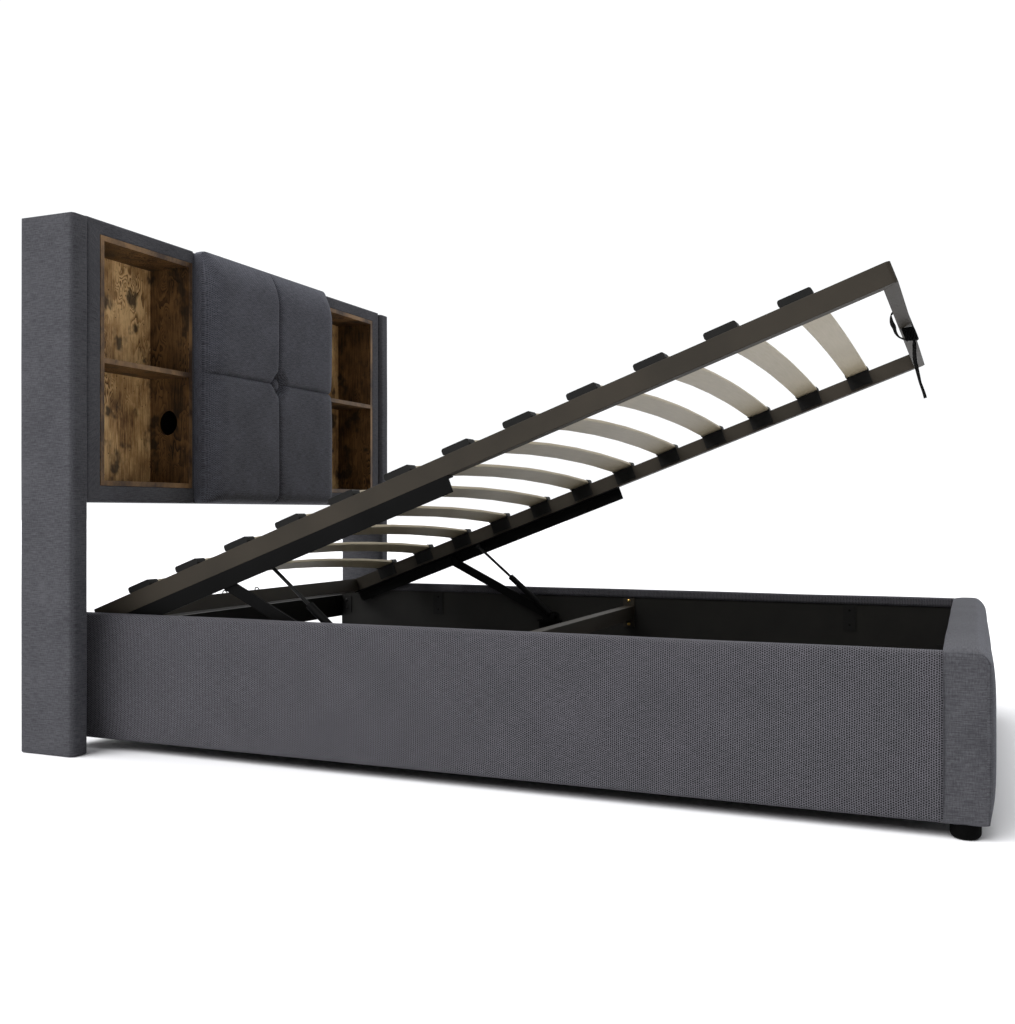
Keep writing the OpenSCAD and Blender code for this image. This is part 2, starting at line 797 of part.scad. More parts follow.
// Middle of the joint plates, and the share of their height from it to each screw
joint_plate_z = lip_z - lip_gap - joint_plate_h/2;
joint_screw_share = 0.28;
joint_plate_ys = [cross_y - head_plate_y, foot_in_y + foot_plate_y];

module joint_plates() {
    color(steel_c) for (side = [-1, 1], y = joint_plate_ys) on_side(side)
        block([board_x - plate_t, y - joint_plate_w/2, joint_plate_z - joint_plate_h/2],
            [board_x, y + joint_plate_w/2, joint_plate_z + joint_plate_h/2]);
}

module joint_plate_screws() {
    color(black_c) for (side = [-1, 1], y = joint_plate_ys, k = [-1, 1]) on_side(side)
        translate([board_x - plate_t, y, joint_plate_z + k*joint_plate_h*joint_screw_share])
            dome_head(screw_head_d);
}

// Corner brackets of bent plate, two at each end of the base: their lower edge at each end
corner_z = 130;
head_corner_z = cross_rail_top_z - corner_drop - corner_h;

module corner_bracket_head() {
    block([board_x - plate_t, cross_y - corner_leg, head_corner_z],
        [board_x, cross_y, head_corner_z + corner_h]);
    block([board_x - corner_leg, cross_y - plate_t, head_corner_z],
        [board_x, cross_y, head_corner_z + corner_h]);
}

module corner_bracket_foot() {
    block([board_x - plate_t, foot_in_y, corner_z], [board_x, foot_in_y + corner_leg, corner_z + corner_h]);
    block([board_x - corner_leg, foot_in_y, corner_z], [board_x, foot_in_y + plate_t, corner_z + corner_h]);
}

module corner_brackets() {
    color(steel_c) for (side = [-1, 1]) on_side(side) {
        corner_bracket_head();
        corner_bracket_foot();
    }
}

module corner_bolts() {
    leg_mid = plate_t + (corner_leg - plate_t)/2;
    color(chrome_c) for (side = [-1, 1], k = [-1, 1]) on_side(side) {
        head_z = head_corner_z + corner_h/2 + k*corner_h/4;
        foot_z = corner_z + corner_h/2 + k*corner_h/4;
        translate([board_x - plate_t, cross_y - leg_mid, head_z]) dome_head(bolt_head_d);
        translate([board_x - leg_mid, cross_y - plate_t, head_z])
            rotate([0, 0, 90]) dome_head(bolt_head_d);
        translate([board_x - plate_t, foot_in_y + leg_mid, foot_z]) dome_head(bolt_head_d);
        translate([board_x - leg_mid, foot_in_y + plate_t, foot_z])
            rotate([0, 0, -90]) dome_head(bolt_head_d);
    }
}

// Lift mechanism on the base

// Bent bracket: a plate on the side board, a web under the arm's end and an upright
upright_r = 14;
web_drop = 8;
web_z = arm_base_z - arm_w/2 - web_drop;

module lift_base(side) {
    y0 = spring_base[0] - upright_r;
    y1 = y0 + bracket_w;
    color(black_c) on_side(side) difference() {
        union() {
            block([board_x - bracket_t, y0, web_z + bracket_t - bracket_h],
                [board_x, y1, web_z + bracket_t]);
            block([bracket_x - bracket_t, y0, web_z], [board_x, y1, web_z + bracket_t]);
            block([bracket_x - bracket_t, y0, web_z],
                [bracket_x, arm_base_y + upright_r, min(arm_base_z, spring_base[1])]);
            pin_x(bracket_x - bracket_t, bracket_x, arm_base_y, arm_base_z, 2*upright_r);
            pin_x(bracket_x - bracket_t, bracket_x, spring_base[0], spring_base[1], 2*upright_r);
        }
        pin_x(bracket_x - bracket_t - eps, bracket_x + eps, arm_base_y, arm_base_z, pin_d);
        pin_x(bracket_x - bracket_t - eps, bracket_x + eps, spring_base[0], spring_base[1], pin_d);
    }
}

// Lower pins: one through each arm, and one through each cylinder's eye
module base_pins() {
    head_t = 2;
    head_d = pin_d + 4;
    color(chrome_c) for (side = [-1, 1]) on_side(side) {
        pin_x(bracket_x - bracket_t, arm_x, arm_base_y, arm_base_z, pin_d);
        pin_x(bracket_x - bracket_t - head_t, bracket_x - bracket_t, arm_base_y, arm_base_z, head_d);
        pin_x(spring_x - eye_t/2 - clear, bracket_x, spring_base[0], spring_base[1], pin_d);
        pin_x(spring_x - eye_t/2 - clear - head_t, spring_x - eye_t/2 - clear,
            spring_base[0], spring_base[1], head_d);
        pin_x(spring_x + eye_t/2 + clear, bracket_x - bracket_t, spring_base[0], spring_base[1], head_d);
    }
}

module lift_arm(side) {
    color(black_c) on_side(side)
        translate([0, arm_base_y, arm_base_z]) rotate([arm_open, 0, 0])
            link_bar(arm_x - arm_t, arm_x, arm_len, arm_w, pin_d + pin_fit);
}

module swing_link(side) {
    color(steel_c) on_side(side)
        translate([0, swing_top[0], swing_top[1]]) rotate([swing_angle, 0, 0])
            link_bar(swing_x - angle_t, swing_x, swing_len, swing_w, pin_d + pin_fit);
}

module swing_bolts() {
    color(chrome_c) for (side = [-1, 1]) on_side(side)
        pin_x(swing_x - angle_t, board_x, swing_top[0], swing_top[1], pin_d);
}

// Gas spring: cylinder from the lower pivot, with a bore for the piston and a guide for the rod
cylinder_floor = 8;
guide_l = 12;
piston_l = 10;
piston_gap = 1;

module gas_cylinder(side) {
    bore_d = cylinder_d - 2*cylinder_wall;
    color(black_c) on_side(side)
        translate([spring_x, spring_base[0], spring_base[1]]) rotate([spring_angle - 90, 0, 0])
            difference() {
                union() {
                    translate([0, 0, eye_neck]) cylinder(h = cylinder_l, d = cylinder_d);
                    cylinder(h = eye_neck, d = rod_d);
                    pin_x(-eye_t/2, eye_t/2, 0, 0, 2*eye_r);
                }
                pin_x(-eye_t/2 - eps, eye_t/2 + eps, 0, 0, pin_d + pin_fit);
                translate([0, 0, eye_neck + cylinder_floor])
                    cylinder(h = cylinder_l - cylinder_floor - guide_l, d = bore_d);
                translate([0, 0, eye_neck + cylinder_l/2])
                    cylinder(h = cylinder_l, d = rod_d + pin_fit);
            }
}

module gas_rod(side) {
    piston_d = cylinder_d - 2*cylinder_wall - pin_fit;
    piston_z = eye_neck + cylinder_l - guide_l - piston_l - piston_gap;
    color(chrome_c) on_side(side)
        translate([spring_x, spring_base[0], spring_base[1]]) rotate([spring_angle - 90, 0, 0]) {
            translate([0, 0, piston_z]) cylinder(h = spring_len - piston_z, d = rod_d);
            translate([0, 0, piston_z]) cylinder(h = piston_l, d = piston_d);
            pin_x(-eye_t/2, eye_t/2, 0, spring_len, 2*eye_r);
        }
}

// Platform, drawn with s along Y and h along Z

module frame_side(side) {
    color(steel_c) on_platform() on_side(side)
        frame_tube([[frame_x + eps, -eps], [frame_x - tube_w - eps, tube_w + eps],
            [frame_x - tube_w - eps, frame_l - tube_w - eps], [frame_x + eps, frame_l + eps]]);
}

module frame_head_tube() {
    color(steel_c) on_platform()
        frame_tube([[frame_x + eps, frame_l + eps], [-frame_x - eps, frame_l + eps],
            [tube_w + eps - frame_x, frame_l - tube_w - eps],
            [frame_x - tube_w - eps, frame_l - tube_w - eps]]);
}

module frame_foot_tube() {
    color(steel_c) on_platform()
        frame_tube([[-frame_x - eps, -eps], [frame_x + eps, -eps],
            [frame_x - tube_w - eps, tube_w + eps], [tube_w + eps - frame_x, tube_w + eps]]);
}

// Steel angle under a side tube, with a tab for the gas spring's stud
module lift_angle(side) {
    s1 = frame_l - angle_setback;
    s0 = s1 - angle_l;
    tab_r = 8;
    end_r = angle_h/3;
    color(black_c) on_platform() on_side(side) difference() {
        union() {
            block([angle_x - tube_w, s0, -angle_t], [angle_x, s1, 0]);
            block([angle_x - angle_t, s0, -angle_h], [angle_x, s1 - end_r, 0]);
            block([angle_x - angle_t, s0, -angle_h + end_r], [angle_x, s1, 0]);
            pin_x(angle_x - angle_t, angle_x, s1 - end_r, -angle_h + end_r, 2*end_r);
            block([tab_x - angle_t, spring_s - tab_r, -spring_drop], [tab_x, spring_s + tab_r, 0]);
            pin_x(tab_x - angle_t, tab_x, spring_s, -spring_drop, 2*tab_r);
        }
        pin_x(angle_x - angle_t - eps, angle_x + eps, arm_s, -arm_drop, pin_d);
        pin_x(tab_x - angle_t - eps, tab_x + eps, spring_s, -spring_drop, pin_d);
    }
}

// Upper pins of the arms, studs of the gas springs and rivets of the swing links
washer_x = arm_x - arm_t - clear;
washer_t = 2;
washer_d = pin_d + 6;
clip_x = washer_x - washer_t - wire_d/2;
// Wire of the clips, half as thick as the wire of the loops
clip_d = wire_d/2;

module platform_pins() {
    color(chrome_c) on_platform() for (side = [-1, 1]) on_side(side) {
        difference() {
            union() {
                pin_x(clip_x - wire_d, angle_x, arm_s, -arm_drop, pin_d);
                pin_x(washer_x - washer_t, washer_x, arm_s, -arm_drop, washer_d);
            }
            clip_place() translate([0, -pin_d, 0]) rotate([-90, 0, 0])
                cylinder(h = 2*pin_d, d = clip_d + pin_fit);
        }
        pin_x(spring_x + eye_t/2 + clear, tab_x, spring_s, -spring_drop, pin_d);
        pin_x(angle_x, swing_x - angle_t - clear, swing_s, -swing_drop, pin_d);
    }
}

// Place of a clip: across the arm's upper pin, sloping down towards the foot
module clip_place() {
    translate([clip_x, arm_s, -arm_drop]) rotate([45, 0, 0]) children();
}

// Ring clip through each upper pin: a ring, and a leg through the pin's cross hole
module pin_clips() {
    ring_r = 12;
    leg_past_pin = 2;
    ring_y = -pin_d/2 - leg_past_pin - ring_r;
    color(black_c) on_platform() for (side = [-1, 1]) on_side(side) clip_place() {
        translate([0, ring_y, 0]) rotate([0, 90, 0])
            rotate_extrude() translate([ring_r, 0]) circle(d = clip_d);
        translate([0, ring_y + ring_r, 0]) rotate([-90, 0, 0])
            cylinder(h = pin_d + 2*leg_past_pin, d = clip_d);
    }
}

// Three wire loops that stand on the head tube
wire_loop_xs = [-185, -108, 40];

module wire_loops() {
    color(black_c) on_platform() for (x = wire_loop_xs)
        translate([x, frame_l - tube_w/2, tube_h])
            rotate([90, 0, 0])
                rotate_extrude(angle = 180) translate([wire_loop_r, 0]) circle(d = wire_d);
}

// Slats and their holders, which stand back a little from the tube's outer face
holder_inset = 2;
holder_x = frame_x - holder_inset;
holder_l = slat_w + 2*holder_wall;
holder_in_x = holder_x - holder_w;
slat_end_x = holder_in_x + slat_seat;
slat_z = tube_h + holder_floor + slat_fit;
// Radius of a slat's lower face, from its half length and its bow
bow_r = (pow(slat_end_x, 2) + pow(slat_bow, 2))/(2*slat_bow);

module slat(s) {
    translate([0, s + slat_w/2, slat_z]) rotate([90, 0, 0])
        linear_extrude(slat_w) intersection() {
            translate([0, slat_bow - bow_r]) difference() {
                circle(bow_r + slat_t, $fn = bow_fn);
                circle(bow_r, $fn = bow_fn);
            }
            translate([-slat_end_x, -slat_t]) square([2*slat_end_x, slat_bow + 3*slat_t]);
        }
}

module slats() {
    color(slat_c) on_platform() for (k = [0:slat_n - 1]) slat(first_slat_s + k*slat_pitch);
}

// Room for a slat's end, which rises a little towards the middle
slat_rise = slat_bow*(1 - pow((slat_end_x - slat_seat)/slat_end_x, 2));
pocket_h = slat_t + slat_rise + 2*slat_fit;

// Holder with a pocket for the slat's end, and a lip down the tube's inner face
module slat_holder(s) {
    translate([holder_in_x, s - holder_l/2, tube_h])
        difference() {
            rotate([90, 0, 90]) linear_extrude(holder_w)
                round_rect(holder_l, holder_floor + pocket_h + holder_roof,
                    holder_round, holder_round);
            translate([-eps, (holder_l - slat_w)/2 - slat_fit, holder_floor])
                cube([slat_seat + eps + slat_fit, slat_w + 2*slat_fit, pocket_h]);
        }
    block([frame_x - tube_w - holder_lip_t, s - slat_w/2, tube_h - holder_lip_h],
        [frame_x - tube_w, s + slat_w/2, tube_h + holder_floor/2]);
}

module slat_holders() {
    color(black_c) on_platform() for (side = [-1, 1], k = [0:slat_n - 1])
        on_side(side) slat_holder(first_slat_s + k*slat_pitch);
}

// Pull strap: a band round the foot tube, and a tail that hangs from it
module pull_strap() {
    in_w = tube_w + 2*strap_gap;
    in_h = tube_h + 2*strap_gap + strap_sag;
    color(black_c) on_platform()
        translate([tail_x - strap_w/2, -strap_gap - strap_t, -strap_gap - strap_t - strap_sag])
            rotate([90, 0, 90]) linear_extrude(strap_w) difference() {
                round_rect(in_w + 2*strap_t, in_h + 2*strap_t, strap_t, strap_t);
                translate([strap_t, strap_t]) square([in_w, in_h]);
            }
}

// Direction of the tail at route place n
function tail_dir(n) = n == 0
    ? [-sin(open_tilt), -cos(open_tilt)]
    : let (a = tail_route[n - 1], b = tail_route[min(n + 1, len(tail_route) - 1)])
        (b - a)/norm(b - a);
// Amount that the tail is narrower than the band, on each side
tail_inset = 0.5;
// Flat section with bevelled edges, as shares of its half width and half thickness
tail_shares = [[1, 0.4], [0.75, 1], [-0.75, 1], [-1, 0.4], [-1, -0.4], [-0.75, -1], [0.75, -1], [1, -0.4]];
tail_n = len(tail_shares);
tail_section = [for (q = tail_shares) [(strap_w/2 - tail_inset)*q[0], strap_t/2*q[1]]];
// Start of the tail on the band's lower face
tail_start = open_pt(tail_s, -strap_gap - strap_t - strap_sag);
// Ring of the tail's section at route place n
function tail_ring(n) =
    let (d = tail_dir(n), p = tail_start + tail_route[n])
    [for (q = tail_section) [tail_x + q[0], p[0] - d[1]*q[1], p[1] + d[0]*q[1]]];

module pull_strap_tail() {
    rings = len(tail_route);
    points = [for (n = [0:rings - 1], q = tail_ring(n)) q];
    walls = [for (n = [0:rings - 2], k = [0:tail_n - 1], t = [0, 1])
        let (a = tail_n*n + k, b = tail_n*n + (k + 1) % tail_n, c = a + tail_n, d = b + tail_n)
        t == 0 ? [a, b, c] : [b, d, c]];
    ends = [[for (k = [tail_n - 1:-1:0]) k], [for (k = [0:tail_n - 1]) tail_n*(rings - 1) + k]];
    color(black_c) polyhedron(points, concat(walls, ends));
}

post_board(-1);  // post_board_left
post_board(1);  // post_board_right
post_cover(-1);  // post_cover_left
post_cover(1);  // post_cover_right
surround(-1);  // surround_left
surround(1);  // surround_right
shelf_box(-1);  // shelf_box_left
shelf_box(1);  // shelf_box_right
shelf_back(-1);  // shelf_back_left
shelf_back(1);  // shelf_back_right
shelf(-1);  // shelf_left
shelf(1);  // shelf_right
centre_frame();
centre_cushion();
tuft_button();
headboard_back();
head_cross_rail();
side_board(-1);  // side_board_left
side_board(1);  // side_board_right
side_cover(-1);  // side_cover_left
side_cover(1);  // side_cover_right
foot_board();
foot_cover();
feet();
base_battens();
base_runner();
base_panel_head();
base_panel_foot();
cross_bar();
cross_bar_plates();
cross_bar_screws();
joint_plates();
joint_plate_screws();
corner_brackets();
corner_bolts();
lift_base(-1);  // lift_base_left
lift_base(1);  // lift_base_right
base_pins();
lift_arm(-1);  // lift_arm_left
lift_arm(1);  // lift_arm_right
swing_link(-1);  // swing_link_left
swing_link(1);  // swing_link_right
swing_bolts();
gas_cylinder(-1);  // gas_cylinder_left
gas_cylinder(1);  // gas_cylinder_right
gas_rod(-1);  // gas_rod_left
gas_rod(1);  // gas_rod_right
frame_side(-1);  // frame_side_left
frame_side(1);  // frame_side_right
frame_head_tube();
frame_foot_tube();
lift_angle(-1);  // lift_angle_left
lift_angle(1);  // lift_angle_right
platform_pins();
pin_clips();
wire_loops();
slats();
slat_holders();
pull_strap();
pull_strap_tail();
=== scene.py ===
# %% [markdown]
# # An upholstered storage bed, dressed over its engineering model
#
# The bed comes as solids with true sizes: boards, tubes, slats, arms and gas springs. They already move
# on their joints. This lesson gives them their looks. Hard parts keep their solids and get a finish, and
# some get a copy with eased edges. Everything padded is made new, because a block is not a cushion.
# All sizes are metres. X runs across the bed, Y from foot to head, Z up, with the origin on the floor.

# %% Load the solids
import json
from math import cos, pi, radians, sin

import bmesh
import bpy
import numpy as np
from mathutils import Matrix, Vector


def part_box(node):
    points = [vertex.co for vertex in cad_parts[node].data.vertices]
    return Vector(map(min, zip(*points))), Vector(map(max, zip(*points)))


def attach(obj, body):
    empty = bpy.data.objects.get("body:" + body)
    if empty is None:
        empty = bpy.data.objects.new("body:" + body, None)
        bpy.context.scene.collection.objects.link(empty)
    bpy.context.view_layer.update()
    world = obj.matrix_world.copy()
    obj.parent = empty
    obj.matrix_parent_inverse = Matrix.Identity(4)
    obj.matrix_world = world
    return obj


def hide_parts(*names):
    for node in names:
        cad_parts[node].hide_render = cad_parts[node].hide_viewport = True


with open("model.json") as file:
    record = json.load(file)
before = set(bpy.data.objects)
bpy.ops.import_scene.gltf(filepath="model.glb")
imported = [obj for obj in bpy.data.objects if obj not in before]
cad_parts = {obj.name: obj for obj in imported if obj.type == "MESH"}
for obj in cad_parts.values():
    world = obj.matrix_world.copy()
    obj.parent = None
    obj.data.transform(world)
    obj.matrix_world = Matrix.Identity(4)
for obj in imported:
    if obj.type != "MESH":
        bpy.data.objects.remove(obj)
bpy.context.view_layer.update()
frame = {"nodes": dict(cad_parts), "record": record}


def box(node):
    """Lowest and highest corner of a solid at rest, as arrays: every new piece takes its place from these."""
    low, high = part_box(node)
    return np.array(low, float), np.array(high, float)


# %% [markdown]
# ## Two small helpers for finishes
#
# Colours are picked as sRGB hex, the way a paint chart gives them, and a shader wants linear light.
# Every finish is a small network of nodes, so one function adds a node, sets it and wires it. Inputs go
# by number where names repeat: Map Range takes the value, from low, from high, to low and to high as 0
# to 4. Mix takes its factor as 0, two numbers as 2 and 3, or two colours as 6 and 7.

# %% Colour and node helpers
def ink(code):
    """sRGB hex to linear: c/12.92 for dark values, else ((c + 0.055)/1.055) to the power 2.4."""
    c = np.array([int(code[i:i + 2], 16) for i in (0, 2, 4)]) / 255
    return (*np.where(c <= 0.04045, c / 12.92, ((c + 0.055) / 1.055) ** 2.4).tolist(), 1.0)


def add(tree, kind, inputs=None, out=0, stops=None, **settings):
    """Adds one node. An input's value is a socket, which is wired, or a number. Returns an output."""
    node = tree.nodes.new("ShaderNode" + kind)
    for key, value in settings.items():
        setattr(node, key, value)
    for key, value in (inputs or {}).items():
        if isinstance(value, bpy.types.NodeSocket):
            tree.links.new(value, node.inputs[key])
        else:
            node.inputs[key].default_value = value
    if stops:
        ramp = node.color_ramp.elements
        while len(ramp) < len(stops):
            ramp.new(0.5)
        for element, (place, colour) in zip(ramp, stops):
            element.position, element.color = place, colour
    return node.outputs[out]


def start_finish(name, **sockets):
    """A new material whose Principled shader has these sockets set. Returns it, its tree and shader."""
    material = bpy.data.materials.new(name)
    material.use_nodes = True
    shader = material.node_tree.nodes["Principled BSDF"]
    for socket, value in sockets.items():
        shader.inputs[socket.replace("_", " ")].default_value = value
    return material, material.node_tree, shader


def wire(tree, shader, **sockets):
    """Wires outputs to the shader's sockets by name."""
    for socket, value in sockets.items():
        tree.links.new(value, shader.inputs[socket.replace("_", " ")])


# %% [markdown]
# ## Camera, light and floor
#
# The photograph was taken with a level camera at half a metre, so upright edges stay upright. Outer
# sides are light, faces that look to the foot are dark, and so are the insides of the shelf boxes. So
# the main light is soft and comes from high on the left, behind the headboard. The wall behind the bed
# is white, and the room on the camera's side is dim. A sky that fades from white to grey along X gives
# both, and a weak, very wide light from the ceiling fills the bed's own shadow on the floor.

# %% Camera
camera = bpy.data.objects.new("camera", bpy.data.cameras.new("camera"))
camera.location = (-2.6151, -0.97485, 0.545)
camera.rotation_euler = (radians(90), 0, radians(22.69 - 90))
camera.data.lens = 39.0
camera.data.sensor_width = 36.0
bpy.context.scene.collection.objects.link(camera)
bpy.context.scene.camera = camera
bpy.context.scene.view_settings.view_transform = "Standard"
print("camera:", [round(c, 3) for c in camera.location], "lens", camera.data.lens, "mm")


# %% World and lamps
def lamp(name, kind, place, target, watts, **settings):
    """A lamp at a place, turned so that its -Z axis looks at the target."""
    light = bpy.data.lights.new(name, kind)
    light.energy = watts
    for key, value in settings.items():
        setattr(light, key, value)
    lamp_object = bpy.data.objects.new(name, light)
    lamp_object.location = place
    lamp_object.rotation_euler = (Vector(target) - Vector(place)).to_track_quat("-Z", "Y").to_euler()
    bpy.context.scene.collection.objects.link(lamp_object)


world = bpy.data.worlds.new("studio")
world.use_nodes = True
sky = world.node_tree
towards = add(sky, "TexCoord", out="Generated")
to_right = add(sky, "SeparateXYZ", {0: towards}, out="X")
DIM_SIDE, BRIGHT_SIDE = 0.16, 1.06
strength = add(sky, "MapRange", {0: to_right, 1: 0.0, 2: 0.5, 3: DIM_SIDE, 4: BRIGHT_SIDE})
sky.links.new(strength, sky.nodes["Background"].inputs["Strength"])
sky.nodes["Background"].inputs["Color"].default_value = (0.98, 0.99, 1.0, 1.0)
bpy.context.scene.world = world
lamp("main", "SUN", (-2.7, 2.2, 4.4), (0, 0, 0.25), 4.4, angle=radians(60))
lamp("ceiling", "SUN", (0, 0, 5), (0, 0, 0), 0.8, angle=radians(120))
print("lamps:", [light.name for light in bpy.data.lights])


# %% [markdown]
# ## Upholstery cloth
#
# The cover is a polyester linen look: thick, slightly uneven yarns in a plain weave, dyed dark blue-grey.
# Light catches the crowns of the yarns and dies in the small holes between four of them, and the uneven yarns give
# faint streaks both ways. That shade in the holes is painted into the colour, which is darkened where the weave is
# low. The rails are covered with the cloth's cellular side, whose holes stand in offset columns 4 mm apart, joined by
# upright grooves. The real holes are 3 mm apart down a column, and the plain weave's yarns are finer still. Both are
# too fine to show in the render, so they are drawn about 4 mm and 2 mm apart. All patterns are computed from the
# piece's own UV map, which is in metres, so they keep their size and follow the surface.

# %% Cloth patterns
def plain_weave(tree, uv, yarn_u, yarn_v):
    """Plain weave: max(|sin a| k, |sin b| (1 - k)), a and b the phases across the two sets of yarns.

    k = 0.5 + 1.2 sin a sin b, clamped to 0 and 1, swaps the yarn on top from one crossing to the next."""
    parts = add(tree, "SeparateXYZ", {0: uv}).node.outputs
    waves = []
    for socket, pitch in ((parts[0], yarn_u), (parts[1], yarn_v)):
        phase = add(tree, "Math", {0: socket, 1: pi / pitch}, operation="MULTIPLY")
        waves.append(add(tree, "Math", {0: phase}, operation="SINE"))
    swap = add(tree, "Math", {0: waves[0], 1: waves[1]}, operation="MULTIPLY")
    on_top = add(tree, "Math", {0: swap, 1: 1.2, 2: 0.5}, operation="MULTIPLY_ADD", use_clamp=True)
    below = add(tree, "Math", {0: 1.0, 1: on_top}, operation="SUBTRACT")
    shares = []
    for wave, share in zip(waves, (on_top, below)):
        size = add(tree, "Math", {0: wave}, operation="ABSOLUTE")
        shares.append(add(tree, "Math", {0: size, 1: share}, operation="MULTIPLY"))
    return add(tree, "Math", {0: shares[0], 1: shares[1]}, operation="MAXIMUM")


def cellular_weave(tree, uv, column, row, ribs=0.5):
    """Height (1 - c cos(2 pi v/row) - ribs c^2)/2 with c = cos(pi u/column), lowest at the holes.

    'ribs' is how strongly the columns of holes also run together into upright grooves. Noise in patches
    of 18 mm first moves each place by up to 3 mm, so that no row is ruled."""
    drift = add(tree, "TexNoise", {"Vector": uv, "Scale": 55.0, "Detail": 2.0}, out="Color")
    moved = add(tree, "VectorMath", {0: drift, 1: (0.0032, 0.0032, 0.0), 2: uv}, operation="MULTIPLY_ADD")
    parts = add(tree, "SeparateXYZ", {0: moved}).node.outputs
    waves = []
    for socket, turn in ((parts[0], pi / column), (parts[1], 2 * pi / row)):
        phase = add(tree, "Math", {0: socket, 1: turn}, operation="MULTIPLY")
        waves.append(add(tree, "Math", {0: phase}, operation="COSINE"))
    both = add(tree, "Math", {0: waves[0], 1: waves[1]}, operation="MULTIPLY")
    lines_up = add(tree, "Math", {0: waves[0], 1: waves[0]}, operation="MULTIPLY")
    level = add(tree, "Math", {0: lines_up, 1: -ribs / 2, 2: 0.5}, operation="MULTIPLY_ADD")
    return add(tree, "Math", {0: both, 1: -0.5, 2: level}, operation="MULTIPLY_ADD")


def ribbed_weave(tree, uv, column, row):
    """The cellular weave with strong grooves, for the rails."""
    return cellular_weave(tree, uv, column, row, 1.2)


def streaks(tree, uv, along, across):
    """Noise drawn out along one direction: one patch is 'along' metres long and 'across' wide."""
    stretched = add(tree, "Mapping", {0: uv, "Scale": (1 / along, 1 / across, 1)})
    return add(tree, "TexNoise", {"Vector": stretched, "Scale": 1.0, "Detail": 3.0, "Roughness": 0.6})


# %% Cloth finish
def cloth(name, weave, pitch, shade, crown, hole, depth, bump, low=0.16, high=0.80):
    """Colour = yarn tone between 'shade' and 'crown' times (1 - hole (1 - t)), t the weave's height from 'low' to
    'high' as 0 to 1; that factor is painted shade in the weave's holes, 'hole' its strength. 'pitch' is the weave's
    two sizes in mm. 'depth' is the relief in metres."""
    material, tree, shader = start_finish(
        name, Roughness=0.92, IOR=1.45, Sheen_Weight=0.12, Sheen_Roughness=0.45)
    shader.inputs["Specular IOR Level"].default_value = 0.25
    shader.inputs["Sheen Tint"].default_value = ink("b9bccc")
    uv = add(tree, "TexCoord", out="UV")
    height = weave(tree, uv, pitch[0] / 1000, pitch[1] / 1000)
    warp = streaks(tree, uv, 0.0018, 0.010)
    weft = streaks(tree, uv, 0.024, 0.0018)
    yarns = add(tree, "Mix", {0: 0.6, 2: warp, 3: weft}, data_type="FLOAT")
    patches = add(tree, "TexNoise", {"Vector": uv, "Scale": 9.0, "Detail": 3.0})
    tone = add(tree, "Mix", {0: 0.15, 2: yarns, 3: patches}, data_type="FLOAT")
    colour = add(tree, "ValToRGB", {0: tone}, stops=[(0.40, ink(shade)), (0.60, ink(crown))])
    # Painted shade: the yarn colour is darkened in the holes, where the weave's height is low; 'hole' sets how much.
    painted_hole_shade = add(tree, "MapRange", {0: height, 1: low, 2: high, 3: 1 - hole, 4: 1.0})
    painted_hole_shade_colour = add(tree, "CombineXYZ", {0: painted_hole_shade, 1: painted_hole_shade, 2: painted_hole_shade})
    cloth_colour = add(tree, "Mix", {0: 1.0, 6: colour, 7: painted_hole_shade_colour}, out=2,
                       data_type="RGBA", blend_type="MULTIPLY")
    relief = add(tree, "Math", {0: height, 1: yarns}, operation="MULTIPLY")
    normal = add(tree, "Bump", {"Strength": bump, "Distance": depth, "Height": relief})
    wire(tree, shader, Base_Color=cloth_colour, Normal=normal)
    return material


# Posts, box frames and footboard are cut from the finer side of the cloth, the rails from the coarser.
fine_cloth = cloth("polyester_linen_fine", plain_weave, (2.2, 2.2), "343438", "505054",
                   hole=0.35, depth=0.0006, bump=0.5)
cushion_cloth = cloth("polyester_linen_cushion", cellular_weave, (3.2, 4.6), "3d3e44", "5e5f68",
                      hole=0.68, depth=0.0008, bump=0.6, low=0.0, high=0.62)
coarse_cloth = cloth("polyester_cellular_coarse", ribbed_weave, (4.0, 4.2), "49494d", "5d5b61",
                     hole=0.98, depth=0.0014, bump=0.6, low=-0.1, high=0.5)
print("cloths:", fine_cloth.name, cushion_cloth.name, coarse_cloth.name)


# %% [markdown]
# ## Surfaces from arrays
#
# A padded piece is a few curved sheets whose borders meet. Each sheet is a grid of points, worked out
# as whole arrays, with the distance along it in metres as its UV. The sheets are put into one mesh and
# points that share a place are welded, so that the piece is closed.

# %% Meshes from grids
def weld(patches):
    """Grids of points (m, n, 3) with UVs (m, n, 2) as one list of points, quads and corner UVs."""
    points, quads, uvs, start = [], [], [], 0
    for grid, uv in patches:
        m, n = grid.shape[:2]
        corner = (np.arange(m - 1)[:, None] * n + np.arange(n - 1)[None, :]).ravel() + start
        quads.append(np.stack([corner, corner + 1, corner + n + 1, corner + n], 1))
        points.append(grid.reshape(-1, 3))
        uvs.append(np.broadcast_to(uv, (m, n, 2)).reshape(-1, 2))
        start += m * n
    points, quads, uvs = np.concatenate(points), np.concatenate(quads), np.concatenate(uvs)
    _, first, place = np.unique(np.round(points, 6), axis=0, return_index=True, return_inverse=True)
    return points[first], place.ravel()[quads], uvs[quads.ravel()]


